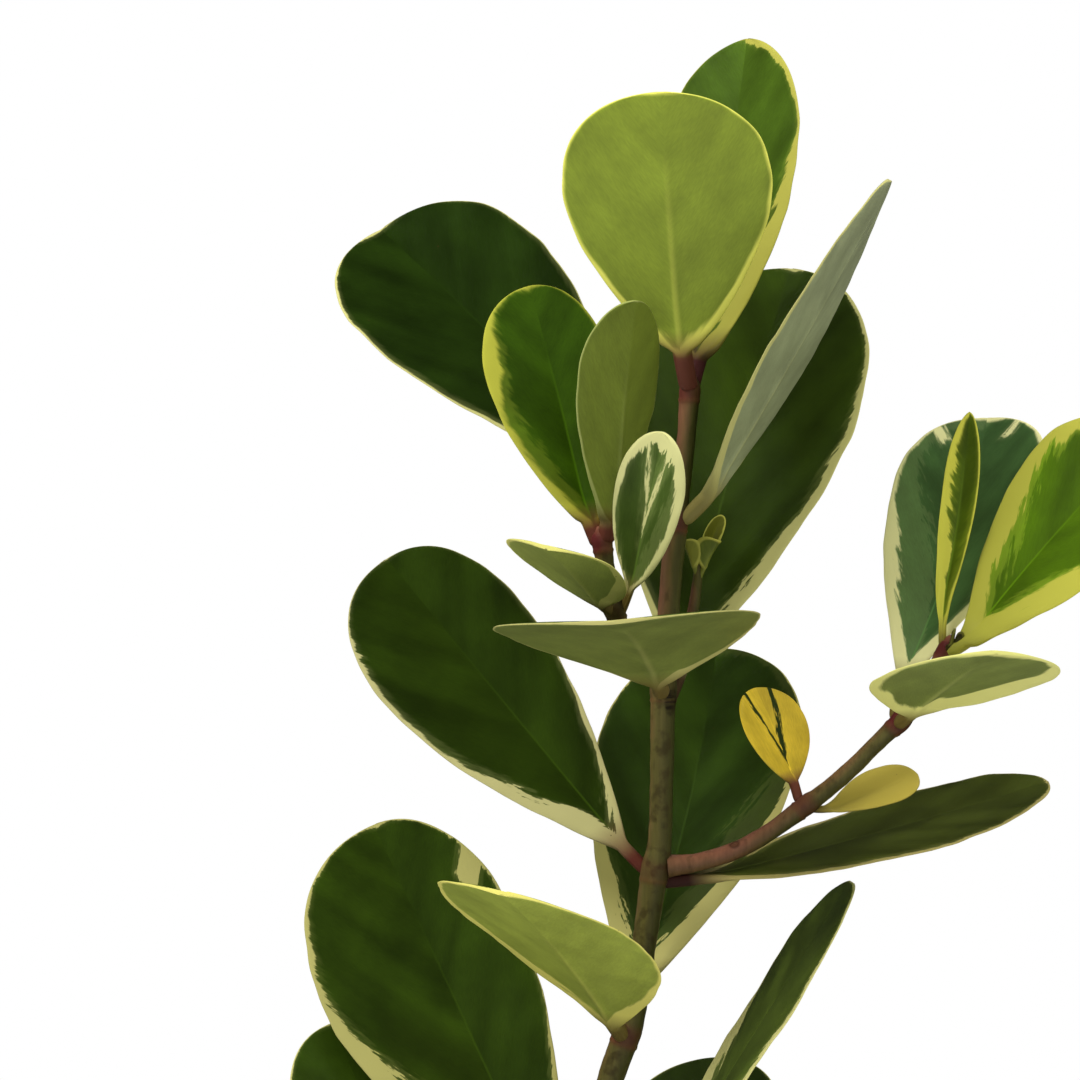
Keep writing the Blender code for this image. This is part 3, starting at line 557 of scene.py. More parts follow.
LEAVES = {
    "crown_front_leaf": leaf_row("main_stem", 22, -2.5, (20, -40, 585), 62, arch=-8, skew=0.03, petiole=13,
        lobe=3, stalk=2.9, drop=-2, settle=20, upper="4e661f", under="829229", cream="ecea66", skin="6b3a2c",
        soft=0.8, left=(5, 2.5, 0.9, 0.5, 0.5), right=(5, 1.5, 0.6, 0.5, 0.5)),
    "crown_back_leaf": leaf_row("main_stem", 22, -2.5, (49, 25, 610), 55, arch=-4, low=0.9, high=0.58,
        petiole=11, lobe=2.5, stalk=2.2, drop=-1, settle=24, upper="435c12", cream="b5b04a", skin="4a2424",
        left=(4, 2, 1, 0.5, 0.3), right=(9, 9, 5, 0.8, 2.8)),
    "second_left_leaf": leaf_row("main_stem", 19, 0, (-65, 45, 553), 68, roll=-45, arch=12, fold=12, low=1.1,
        high=0.42, skew=-0.03, upper="1b2c04", left=(2, 1.2, 0.5, 0.5, 0.8), right=(1.5, 0.3, 0.3, 0.3, 0.3)),
    "second_right_leaf": leaf_row("main_stem", 19, 0, (88, -19, 562), 62, arch=-4, fold=2, twist=15, petiole=7,
        lobe=1.5, stalk=2.5, under="959c74", skin="8a7f45", left=(1, 0.5, 0.3, 0.3, 0.3),
        right=(4, 3, 2, 1, 0.5)),
    "third_front_leaf": leaf_row("main_stem", 16, 0, (4, -92, 433.5), 75, roll=4, arch=26, fold=3, low=0.85,
        high=0.42, petiole=6, lobe=2, under="727c37", wave=0.1, left=(5, 2.5, 0.8, 0.4, 0.4),
        right=(1.5, 1, 0.5, 0.5, 0.4), cream="b9b36c"),
    "third_back_leaf": leaf_row("main_stem", 16, -4, (65, 60, 542), 78, roll=10, high=0.55, upper="2b3c06",
        left=(3, 1, 0.5, 0.5, 0.5), right=(6, 4.5, 3.5, 1.5, 1), skin="3a2a18"),
    # Its cream, b4ae74, is darker than the common one, partly its own tone and partly painted shade
    "fourth_left_leaf": leaf_row("main_stem", 13, 0, (-63, 45, 450), 55, roll=-50, arch=-4, high=0.45,
        skew=-0.12, petiole=5, upper="213103", left=(6.5, 3, 0.9, 1.3, 0.4), right=(4, 2, 0.4, 0.3, 0.2),
        skin="5a2a20", tear=1.6, cream="b4ae74"),
    # Its cream, a89c5c, is darkened as painted shade of its lower margin
    "fourth_right_leaf": leaf_row("main_stem", 13, -4, (139, 10, 382.5), 45, roll=17, arch=-6, fold=4,
        low=0.85, skew=0.1, petiole=7, drop=0, upper="3a4212", skin="3c1f1a", left=(4, 3, 2, 1, 0.8),
        right=(2, 1.5, 1, 1, 0.8), cream="a89c5c"),
    "fifth_front_leaf": leaf_row("main_stem", 10, 0, (-25, -85, 359), 66, roll=-12, fold=4, petiole=6,
        lobe=2, stalk=2.5, under="96a13f", left=(7, 4, 0.8, 0.4, 0.4), right=(7, 6.5, 5.5, 2.5, 0.8),
        cream="dcd46c", soft=0.5),
    # The wide pale band on its right side (halo 9, cloud 0.3) is a painted sheen
    "fifth_back_leaf": leaf_row("main_stem", 10, 2, (42, 74, 421), 69, sweep=4.5, fold=6, upper="273a08",
        left=(7, 6, 2, 0.5, 0.5), right=(9, 7, 3, 0.6, 0.4), tear=1.5, cream="bfb76c", halo=(1.5, 9),
        cloud=0.3),
    "sixth_left_leaf": leaf_row("main_stem", 7, -3, (-67, 40, 367), 66, roll=-50, low=1.05, skew=-0.16,
        upper="273903", tear=1.5, streaks=((57.0, 4.0, 12),), left=(9, 8, 5, 1.4, 0.8),
        right=(4.5, 3, 0.5, 1.4, 1.2), cream="aea862"),
    "sixth_right_leaf": leaf_row("main_stem", 7, 0, (79, 5, 353), 56, roll=2.3, arch=0, fold=2, upper="4a591b",
        left=(8, 13, 10, 2, 0.5), right=(5, 5, 3.5, 1.5, 0.5), cream="d6d082"),
    "seventh_back_leaf": leaf_row("main_stem", 4, 0, (46, 60, 291), 66, upper="253309"),
    "seventh_front_leaf": leaf_row("main_stem", 4, -2, (22, -104, 236), 66, roll=6, arch=14),
    "upper_low_left_leaf": leaf_row("upper_left_branch", 4, 0, (-13, -60, 454), 38, roll=-10, low=0.7,
        skew=0.2, petiole=5, lobe=3, under="9aa44c", left=(10, 9, 4, 1, 0.6), right=(1.2, 1, 1, 1, 0.8),
        cream="d2cd70"),
    "upper_low_right_leaf": leaf_row("upper_left_branch", 4, -2, (20.2, -52, 486.5), 22, roll=129, arch=4,
        low=0.8, petiole=7, upper="44581f", cream="d8d590", veins=82, left=(1.5, 1.2, 1.2, 2, 4),
        right=(1.5, 2, 2.2, 3, 4.5), tear=2.0, halo=(1, 4), streaks=((4.3, -0.42, 13), (4.1, 0.4, 15))),
    "upper_tip_left_leaf": leaf_row("upper_left_branch", 7, -2, (-18, -15, 531), 36.5, roll=-50, skew=-0.08,
        petiole=6, stalk=2.7, lobe=2, drop=1, settle=14, upper="324d03", cream="b3b23c", skin="5d2f22",
        cloud=0.7, soft=0.9, halo=(3.5, 1), left=(2.5, 1.6, 1.5, 4.4, 0.9), right=(1.5, 0.6, 0.4, 0.4, 0.4)),
    "upper_tip_right_leaf": leaf_row("upper_left_branch", 7, -1.5, (12.5, -40, 525), 40, roll=18, petiole=5,
        high=0.52, stalk=2.7, lobe=2.2, drop=1, settle=14, under="697624", skin="5d2f22",
        left=(0.3, 0.3, 0.3, 0.3, 0.3), right=(0.8, 0.5, 0.4, 0.3, 0.3), cream="a0a75c"),
    "right_low_upper_leaf": leaf_row("right_branch", 5, 0, (50, 10, 411), 25, roll=-20, low=0.7, petiole=5,
        upper="b59a26", cream="26330f", skin="6a3a28", veins=76, streaks=((3.2, 1.0, 30), (2.6, -0.6, 30)),
        left=NO_MARGIN, right=NO_MARGIN),
    "right_low_lower_leaf": leaf_row("right_branch", 5, 0, (99, 5, 385), 16, roll=40, petiole=2.5,
        upper="948227", cream="b5a344", left=(20,) * 5, right=(20,) * 5),
    # Its cream, dedb80, is brightened as a painted highlight
    "right_middle_front_leaf": leaf_row("right_branch", 9, 0, (115, -50, 424), 60, roll=-1, fold=-4, lobe=3,
        petiole=6, under="78843c", left=(14, 16, 15, 6, 2), right=(9, 7, 4, 2, 1), cream="dedb80", soft=1.0),
    # The wide pale band on its left side (halo 14) is partly half-tone and partly a painted grey-green sheen
    "right_middle_back_leaf": leaf_row("right_branch", 9, 0, (125.6, 46, 494), 54, high=0.42, sweep=5,
        upper="446433", cloud=0.3, halo=(14, 2), left=(5, 5, 4.5, 2, 1.2), right=(8, 3, 1.5, 1, 1.5),
        cream="efeaa6", streaks=((47, -1.8, 9), (51.7, 1.3, 8)), soft=0.7),
    "right_tip_left_leaf": leaf_row("right_branch", 12, 0, (114.5, 4, 494.5), 11, roll=50, fold=35, high=0.6,
        sweep=2, petiole=2, settle=16, upper="475b06", cream="d0cc48", soft=0.5, left=(5, 4, 3, 2.5, 1.5),
        right=(1, 0.5, 0.5, 0.3, 0.3)),
    "right_tip_right_leaf": leaf_row("right_branch", 12, -0.5, (164, -20, 487), 55, roll=55, low=1.15,
        skew=0.05, petiole=3, stalk=2.2, drop=2, lobe=2.5, upper="486704", cream="b8b545", cloud=0.9, soft=0.6,
        halo=(4, 1.5), left=(9, 8, 8, 6, 5), right=(8, 8, 7.5, 5, 3), skin="9c9a3c"),
    "lower_low_left_leaf": leaf_row("lower_left_branch", 4, 0, (-79, 20, 308), 50, roll=-30),
    "lower_low_right_leaf": leaf_row("lower_left_branch", 4, 0, (-30, -90, 252), 50, roll=-10),
    "lower_tip_left_leaf": leaf_row("lower_left_branch", 7, 0, (-112, -50, 274), 38, roll=-20),
    "lower_tip_right_leaf": leaf_row("lower_left_branch", 7, 0, (-42, -62, 280), 36),
}
SMALL_LEAF = 45                # narrower blades have fewer rings in the solid, mm
FEW_RINGS, MANY_RINGS = 10, 14
print("rows:", len(LEAVES), "leaves on", len(ROUTES), "stems")

# %% [markdown]
# Where a petiole starts and which way a leaf faces follow the same two rules as in the solids. The
# fine petiole then starts deeper, in the middle of the stem, and grows out of its skin with no gap.

# %% Place and grow the leaves
def leaf_axes(start, tip, roll):
    """The leaf's own axes: along its length, out of its upper side, and across it."""
    along = (tip - start).normalized()
    up = Vector((0, 0, 1))
    normal = (up - along * along.dot(up)).normalized()
    across = along.cross(normal)
    angle = math.radians(roll)
    return (along, normal * math.cos(angle) + across * math.sin(angle),
            across * math.cos(angle) - normal * math.sin(angle))


def joint_of(route, index, rise):
    """The place on a stem's axis that is rise above a point of its route, and the stem's way there."""
    way = (Vector(route[index + 1][:3]) - Vector(route[index - 1][:3])).normalized()
    return Vector(route[index][:3]) + way * rise, way


def petiole_start(route, index, rise, tip, rings):
    """Where the solid petiole ends, on the leaf's side of its stem."""
    point, stem = joint_of(route, index, rise)
    along = (tip - point).normalized()
    side = (along - stem * along.dot(stem)).normalized()
    lean = math.sqrt(max(0.0, 1 - along.dot(side) ** 2))
    first_ring = (tip - point).length * (1 - math.cos(math.pi / rings)) / 2
    lift = max(0.0, PETIOLE_RADIUS * lean - first_ring * along.dot(side))
    return point + side * (route[index][3] + SOLID_GAP + lift)


VEIN_BEND = 0.0036             # how fast the side veins turn towards the tip
NO_STREAK = (0.0, 1.0, -50.0)
LEAST_BEND = 0.01              # a straight leaf is a very flat arc, radians
SAME_NAME = ("Petiole", "Low", "High", "Skew", "Sweep", "Seed", "Tear", "Lobe", "Cloud", "Wave", "Settle")


def leaf_mesh(name, start, tip, width, own, root, faces=(72, 90)):
    """Grow one leaf from its own numbers, with its petiole starting at root, and put it in place."""
    along, normal, across = leaf_axes(start, tip, own.roll)
    axes = Matrix((across, along, normal)).transposed().to_4x4()
    bend = math.radians(own.arch)
    if abs(bend) < LEAST_BEND:
        bend = LEAST_BEND
    peak = own.low / (own.low + own.high)
    peak_height = peak ** own.low * (1 - peak) ** own.high
    steep = math.radians(own.veins)
    values = {
        "Length": (tip - start).length * (bend / 2) / math.sin(bend / 2), "Bend": bend,
        "Outline Height": width / 2 / peak_height, "Fold": math.tan(math.radians(own.fold)),
        "Twist": math.radians(own.twist), "Petiole Radius": own.stalk or 0.9 + 0.022 * width,
        "Thickness": own.thick, "Softness": own.soft, "Halo Left": own.halo[0], "Halo Right": own.halo[1],
        "Vein Across": (math.cos(steep), -math.sin(steep), -VEIN_BEND),
        "Vein Along": (math.sin(steep), math.cos(steep), 0.0),
        "Root Shift": tuple(axes.transposed().to_3x3() @ (root - start)),
        "Faces Round": faces[0], "Faces Along": faces[1], "Material": waxy_leaf,
    }
    values.update((label, getattr(own, label.lower())) for label in SAME_NAME)
    values.update(zip(BLADE_COLOURS, map(linear, (own.upper, own.under, own.cream, own.skin))))
    for side in SIDES:
        for number, there in enumerate(getattr(own, side.lower())):
            values[f"Cream {side} {number + 1}"] = float(there)
    for number in range(2):
        values[f"Streak {number + 1}"] = (*own.streaks, NO_STREAK, NO_STREAK)[number]
    mesh = grow(name, leaf_tree, values)
    mesh.transform(Matrix.Scale(MM, 4) @ Matrix.Translation(start) @ axes)
    return mesh


def make_leaf(number, name):
    """One leaf of the table, in place of its solid."""
    stem, index, rise, tip, width, style = LEAVES[name]
    own = SimpleNamespace(**style, seed=11.7 * (number + 1))
    route = ROUTES[stem]
    start = petiole_start(route, index, rise, tip, FEW_RINGS if width < SMALL_LEAF else MANY_RINGS)
    mesh = leaf_mesh(name, start, tip, width, own, joint_of(route, index, rise - own.drop)[0])
    return finish_piece(name.replace("_leaf", "_blade"), mesh, name)


leaves = [make_leaf(number, name) for number, name in enumerate(LEAVES)]
print("leaves:", len(leaves), "with", sum(triangles(leaf) for leaf in leaves), "triangles")

# %% [markdown]
# ## The stems
# The stems are fleshy, smooth and round, with a raised ring below each pair of leaves. A stem is a
# round section drawn along a path, so the path goes into a node tree as a line of points that carry
# their own radius, and the tree turns it into a skin. The ring is a short swelling of the radius.
# A little noise along the skin takes away the look of a turned rod.

# %% Stem paths
STEM_STEP = 0.7                # distance between the sections of a stem, mm


def smooth_route(route, step):
    """Points with radii along a smooth curve through a route's own points, about step mm apart."""
    rows = [Vector((*row[:3], row[3])) for row in route]
    rows = [rows[0] * 2 - rows[1]] + rows + [rows[-1] * 2 - rows[-2]]
    found = []
    for a, b, c, d in zip(rows, rows[1:], rows[2:], rows[3:]):
        count = max(1, round((c - b).length / step))
        for index in range(count):
            t = index / count
            found.append(0.5 * (2 * b + (c - a) * t + (2 * a - 5 * b + 4 * c - d) * t * t
                                + (3 * b - a - 3 * c + d) * t ** 3))
    found.append(rows[-2])
    return found


def ring_places(stem):
    """The route's points that carry leaves."""
    return sorted({row[1] for row in LEAVES.values() if row[0] == stem})


SLIMMER = {                    # how much finer the skin is than the solid at a height, mm
    "main_stem": ((77, 0.4), (430, 0.4), (470, 0.7), (506, 0.7)),
    "right_branch": ((358, 0.6), (428, 0.6)),
    "upper_left_branch": ((417, -0.35), (460, -0.35)),
    "lower_left_branch": ((187, 0.1), (250, 0.1)),
    "young_shoot": ((417, 0.0), (450, 0.0)),
}
FLUSH = {                      # how red each stem is at a height in mm, from 0 to 1
    "main_stem": ((77, 0.0), (250, 0.05), (357, 0.1), (405, 0.15), (420, 0.5), (470, 0.55), (506, 0.6)),
    "right_branch": ((358, 1.0), (364, 0.95), (374, 0.5), (388, 0.35), (400, 0.25), (403, 0.6), (412, 0.3),
                     (428, 1.1)),
    "upper_left_branch": ((417, 0.1), (436, 0.15), (447, 0.1), (460, 0.9)),
    "lower_left_branch": ((187, 0.3), (250, 0.4)),
}
JOINT_RED = {                  # how red the joints are, by the number of the route's point
    "main_stem": {22: 0.9, 19: 1.0, 16: 0.1, 13: 0.4, 10: 0.9, 7: 0.6, 4: 0.4},
    "right_branch": {5: 0.75, 9: 1.2, 12: 1.2}, "upper_left_branch": {7: 1.3, 4: 0.3},
}
OTHER_JOINT_RED = 0.35
JOINT_SWELL, RING_SWELL = 0.3, 0.28        # how far a joint and its ring stand out, mm
RING_BELOW = 3.2               # the ring lies this far below the leaves, mm
BRANCH_FLARE = 0.9             # a branch is this much wider where it leaves its stem, mm


def read_off(rows, height):
    """The value at a height, read off rows of (height, value)."""
    for (low, first), (high, second) in zip(rows, rows[1:]):
        if height <= high:
            share = max(0.0, (height - low) / (high - low))
            return first + (second - first) * share
    return rows[-1][1]


def bell(gap, width, power=2):
    """1 where the gap is 0, falling to nothing over the width."""
    return math.exp(-(gap / width) ** power)


def stem_path(stem, route):
    """A line of points through the route. Each knows its radius, its redness and how near a ring is."""
    points = smooth_route(route, STEM_STEP)
    rings = [(Vector(ROUTES[stem][index][:3]), JOINT_RED.get(stem, {}).get(index, OTHER_JOINT_RED))
             for index in ring_places(stem)]
    path = bpy.data.meshes.new(stem + "_path")
    path.from_pydata([point.xyz for point in points], [(i, i + 1) for i in range(len(points) - 1)], [])
    labels = ("stem_radius", "ring_nearness", "joint", "flush")
    for label in labels:
        path.attributes.new(label, "FLOAT", "POINT")
    for number, point in enumerate(points):
        swell, mark, joint = 0.0, 0.0, 0.0
        for ring, red in rings:
            gap = (point.xyz - ring).length * (1 if point.z > ring.z else -1)
            swell += JOINT_SWELL * bell(gap - 0.5, 2.6) + RING_SWELL * bell(gap + RING_BELOW, 0.45)
            mark += bell(gap + RING_BELOW, 0.7)
            joint += red * bell(gap + 0.5, 3.6, 4)
        from_root = (point.xyz - points[0].xyz).length
        flare = 0.0 if stem == "main_stem" else BRANCH_FLARE * bell(from_root, 3.0, 1)
        values = (point.w - read_off(SLIMMER[stem], point.z) + swell + flare, min(1.0, mark), joint,
                  read_off(FLUSH[stem], point.z))
        for label, value in zip(labels, values):
            path.attributes[label].data[number].value = value
    return path


def make_stem_tree():
    """A round skin along a line of points, in mm."""
    numbers = {"Seed": 0.0, "Roughness": 0.16, "Sides": 32}
    tree, put, ask = new_tree("stem_skin", numbers, Geometry=["Geometry"])
    line = put("MeshToCurve", ask["Geometry"])
    circle = put("CurvePrimitiveCircle", {"Resolution": ask["Sides"], "Radius": 1.0})
    radius = put("InputNamedAttribute.FLOAT", "stem_radius")
    skin = put("CurveToMesh", line, circle, {"Scale": radius, "Fill Caps": True})
    noise_place = put("VectorMath.ADD", put("InputPosition"), put("xyz", 0.0, ask["Seed"]))
    out = put("*", put("-", put("noise", noise_place, 0.22, 3.0), 0.5), put("*", ask["Roughness"], 4.0))
    skin = put("SetPosition", skin, {"Offset": put("scale", put("InputNormal"), out)})
    end_tree(put, ask, put("SetShadeSmooth", skin))
    return tree


stem_tree = make_stem_tree()
print("stem tree:", len(stem_tree.nodes), "nodes")

# %% [markdown]
# The skin of a young stem is green, flushed with red by an amount set along each stem and at the joints,
# and the oldest part is turning brown. The flush is partly painted light: it is stronger and lighter on
# the left and upper side, and the right side is painted darker as shade. Darker freckles and fine
# lengthwise threads break it up.

# %% Stem material and stems
FALLEN_LEAF = (0.0430, -0.0022, 0.3655)    # on the right branch, in metres
CORKY_PATCH = (0.0246, -0.0030, 0.4078)    # on the main stem, in metres


def make_stem_skin():
    """Young green bark with a red flush: smooth, with a slight waxy sheen."""
    skin, put, shader = new_skin("fleshy_stem_skin")
    flush, ring, joint = (put("Attribute", attribute_name=label).outputs["Fac"]
                          for label in ("flush", "ring_nearness", "joint"))
    place = put("TexCoord").outputs["Object"]
    facing = put("SeparateXYZ", put("TexCoord").outputs["Normal"]).outputs
    # Green brown all round, with painted shade that darkens the right side; the red flush is partly real and
    # partly painted light, stronger and lighter on the left and upper side
    cloud = put("noise", place, 70.0, 3.0)
    # Painted light: the lighter red flush is pushed onto the left and upper side
    flush_and_lit_side = put("*+", facing["Z"], 0.25, put("*+", facing["X"], -0.6, -0.2))
    red_share = put("+", put("*+", cloud, 0.8, flush_and_lit_side), put("*+", flush, 1.3, -0.75), use_clamp=True)
    # Painted shade: the right side gets the darker bark colour
    bark = put("mix", put("ramp", facing["X"], -0.2, 0.9), linear("5c5529"), linear("383a17"))
    skin_colour = put("mix", red_share, bark, linear("855540"))
    # Dark blotches where the stem isn't flushed, and freckles about 2 mm long
    blotch = put("noise", place, 230.0, 3.0)
    is_blotch = put("ramp", blotch, 0.5, 0.64, 0.0, put("ramp", flush, 0.1, 0.5, 0.75, 0.1))
    blotched = put("mix", is_blotch, skin_colour, linear("3a3014"))
    freckle = put("noise", put("Mapping", place, {"Scale": (1.0, 1.0, 0.45)}), 420.0, 2.0)
    freckled = put("mix", put("ramp", freckle, 0.58, 0.74, 0.0, 0.45), blotched, linear("2e2a12"))
    thread = put("noise", put("Mapping", place, {"Scale": (1.0, 1.0, 0.08)}), 900.0, 2.0)
    toned = put("scale", freckled, put("ramp", thread, 0.3, 0.7, 0.88, 1.1))
    # The joints are red, most of all on the left
    joint_here = put("*", joint, put("ramp", facing["X"], -0.7, 0.9, 0.9, 0.45))
    joint_share = put("*", joint_here, put("ramp", cloud, 0.3, 0.6, 0.7, 1.1), use_clamp=True)
    ring_share = put("*", ring, 0.25)
    ringed = put("mix", ring_share, put("mix", joint_share, toned, linear("5c2422")), linear("6e3c1e"))
    # Where a leaf of the right branch has fallen, its scar stays as a small brown knob
    scar_gap = put("VectorMath.DISTANCE", place, FALLEN_LEAF)
    is_scar = put("soft ramp", scar_gap, 0.0013, 0.0023, 1.0, 0.0)
    scar_share = put("*", is_scar, put("ramp", scar_gap, 0.0005, 0.0015, 0.2, 0.9))
    scarred = put("mix", scar_share, ringed, linear("4a2a18"))
    # A dark corky patch, cracked across, beside a petiole
    squat = put("VectorMath.MULTIPLY", put("VectorMath.SUBTRACT", place, CORKY_PATCH), (1.0, 1.0, 0.6))
    patch_edge = put("*+", blotch, 0.0016, put("length", squat))
    crack = put("noise", put("Mapping", place, {"Scale": (0.12, 0.12, 1.0)}), 1300.0, 1.0)
    cracked = put("ramp", crack, 0.4, 0.58, 0.95, 0.45)
    patch_share = put("*", put("soft ramp", patch_edge, 0.0028, 0.0038, 1.0, 0.0), cracked)
    patched = put("mix", patch_share, scarred, linear("1d150a"))
    grain = put("*+", is_scar, 3.0, put("+", freckle, thread))
    bump = put("Bump", {"Strength": 0.5, "Distance": 0.0002, "Height": grain})
    feed(shader, {"Base Color": patched, "Roughness": 0.42, "IOR": WAXY_IOR, "Normal": bump})
    return skin


stem_skin = make_stem_skin()


ROOT_INSIDE = 2.5              # how far inside its stem a branch starts, mm


def make_stem(number, stem):
    """One stem, in place of its solid. A branch starts inside the stem that carries it."""
    route = ROUTES[stem]
    if stem != "main_stem":
        first, second = Vector(route[0][:3]), Vector(route[1][:3])
        route = [(*(first - (second - first).normalized() * ROOT_INSIDE), route[0][3]), *route]
    skin = grow(stem, stem_tree, {"Seed": 40.0 * number, "Material": stem_skin}, stem_path(stem, route))
    skin.transform(Matrix.Scale(MM, 4))
    return finish_piece(stem + "_skin", skin, stem)


stems = [make_stem(number, stem) for number, stem in enumerate(ROUTES)]
print("stems:", len(stems), "with", sum(triangles(stem) for stem in stems), "triangles")

# %% [markdown]
# ## The young shoot
# In the corner of one leaf a new shoot has just opened. It has the same parts as the plant that
# carries it, only smaller: a red-flushed stalk, painted lighter on its left side and darker on its right
# as painted light and shade, one leaf that is already upright, and a pair that is still folded like a
# cup. So the same two trees make it, and its pieces are joined.

# %% The young shoot
SHOOT_ROUTE = [(25.6, 4.6, 417, 2.1), (28.6, 4.6, 424, 2.0), (31.2, 5.0, 435, 1.7), (32.4, 5.2, 443, 1.55),
               (32.8, 5.2, 448, 1.2), (33, 5.2, 450, 0.7)]
ROUTES["young_shoot"] = SHOOT_ROUTE
FLUSH["young_shoot"] = ((417, 0.75), (441, 0.6), (444, 0.0))
TINY = dict(COMMON, thick=0.7, petiole=2.5, stalk=0.8, skin="6f7426", cream="a8a644", cloud=0.2,
            wave=0.25, halo=(0.3, 0.3))
TINY_LEAVES = [                # where the blade starts and ends, its width, and its own numbers
    ((32.8, 6.2, 446), (40.2, 9.5, 463.5), 6.4,
     dict(roll=35, fold=12, arch=8, low=0.8, upper="515410", under="57601c",
          left=(1, 0.8, 0.7, 0.5, 0.3), right=(1, 0.8, 0.7, 0.5, 0.3))),
    ((32.4, 4.6, 446), (28.0, 3.0, 456.0), 7.0,
     dict(roll=20, fold=52, arch=25, low=0.7, upper="7d7f22", under="84872c",
          left=(1, 0.8, 0.7, 0.6, 0.5), right=(1, 0.8, 0.7, 0.6, 0.5))),
    ((33.2, 4.6, 446), (38.8, 2.0, 455.8), 8.6,
     dict(roll=-25, fold=50, arch=30, low=0.7, upper="62701f", under="5f6c20",
          left=(1, 0.9, 0.8, 0.7, 0.6), right=(1, 0.9, 0.8, 0.7, 0.6))),
    ((33.0, 5.0, 447), (33.8, 6.0, 453.5), 2.6,
     dict(fold=40, arch=12, low=0.9, upper="7d7f22", under="7d7f22",
          left=(1, 0.5, 0.4, 0.3, 0.2), right=(1, 0.5, 0.4, 0.3, 0.2))),
]
BUD = dict(fold=45, low=0.8, stalk=1.1, upper="2c2a0e", under="2f2c12", cream="6a6a2c", skin="2f2810",
           left=(0.2,) * 5, right=(0.2,) * 5)
BUD_SCALES = [                 # the end bud of the right branch: two dark scales that have just parted
    ((108.2, -3.0, 422.4), (108.9, -4.8, 429.6), 2.6, dict(BUD, roll=70, arch=8)),
    ((109.2, -3.2, 422.6), (111.0, -5.4, 428.6), 2.4, dict(BUD, roll=-60, arch=14)),
]


def join_pieces(name, meshes):
    """One mesh of several, each keeping its own material."""
    parts = [show(f"{name}_{number}", mesh) for number, mesh in enumerate(meshes)]
    with bpy.context.temp_override(active_object=parts[0], selected_editable_objects=parts):
        bpy.ops.object.join()
    joined = parts[0].data
    bpy.data.objects.remove(parts[0], do_unlink=True)
    return joined


def tiny_leaves(rows, first_seed, sink):
    """Meshes of tiny leaves, from rows as above. sink is the way from each start to its root, in mm."""
    made = []
    for number, (start, tip, width, own) in enumerate(rows):
        own = SimpleNamespace(**{**TINY, **own}, seed=5.3 * number + first_seed)
        start = Vector(start)
        made.append(leaf_mesh("tiny_leaf", start, Vector(tip), width, own, start + Vector(sink), (36, 44)))
    return made


def make_shoot():
    """The stalk and its tiny leaves, in place of the solid shoot."""
    stalk = grow("shoot_stalk", stem_tree, {"Seed": 90.0, "Roughness": 0.08, "Material": stem_skin},
                 stem_path("young_shoot", SHOOT_ROUTE))
    stalk.transform(Matrix.Scale(MM, 4))
    parts = [stalk, *tiny_leaves(TINY_LEAVES, 400, (0, 0, -2.0))]
    return finish_piece("young_shoot_skin", join_pieces("young_shoot_skin", parts), "young_shoot")


shoot = make_shoot()
bud_mesh = join_pieces("branch_end_bud", tiny_leaves(BUD_SCALES, 480, (-1.6, 1.8, -0.8)))
bud = finish_piece("branch_end_bud", bud_mesh)
print("young shoot:", triangles(shoot), "triangles; bud:", triangles(bud))

# %% [markdown]
# ## The soil
# The stem stands in a loose, dark potting mix. Its surface is a closed body of turned rings, like the
# solid one, whose top a node tree heaves into crumbs. What lies on it repeats at random, so one
# scatter tree lays it out: crumbs of peat, chips of bark, white grains of perlite and a few fibres.

# %% The body of the soil
SOIL_TOP = 134.0               # at the wall of the pot, mm
SOIL_CROWN = 3.0               # how much higher the middle is, mm
SOIL_UNDER = [(73.4, 130), (70.4, 118), (47.7, 9.3), (0, 9.3)]     # down the wall of the pot, mm
HOLE_FLOOR = 76                # where the stem stands, mm
SOIL_EDGE = 73.6
STEM_HOLE = 5.25               # radius, mm
POT_SIDES = 180
CLEAR_OF_WALL = 70.5           # the scatter keeps inside this radius, mm


def turned_mesh(name, profile, sides, scale=1.0):
    """A closed mesh turned from a profile of (radius, height) points that starts and ends on the axis."""
    shape = bmesh.new()
    rows = []
    for radius, height in profile:
        if radius == 0:
            rows.append([shape.verts.new((0, 0, height * scale))] * sides)
            continue
        angles = [2 * math.pi * side / sides for side in range(sides)]
        rows.append([shape.verts.new((radius * math.cos(a) * scale, radius * math.sin(a) * scale,
                                      height * scale)) for a in angles])
    for low, high in zip(rows, rows[1:]):
        for side in range(sides):
            after = (side + 1) % sides
            corners = [low[side], low[after], high[after], high[side]]
            unique = [corner for number, corner in enumerate(corners) if corner not in corners[:number]]
            shape.faces.new(unique)
    bmesh.ops.recalc_face_normals(shape, faces=shape.faces)
    return mesh_of(name, shape)


def soil_body():
    """The soil as turned rings in mm, close together on its top."""
    steps = 64
    top = []
    for step in range(steps + 1):
        share = step / steps
        top.append((STEM_HOLE + (SOIL_EDGE - STEM_HOLE) * share, SOIL_TOP + SOIL_CROWN * (1 - share)))
    profile = [(0, HOLE_FLOOR), (STEM_HOLE, HOLE_FLOOR), (STEM_HOLE, 110), *top, *SOIL_UNDER]
    return turned_mesh("soil", profile, POT_SIDES)


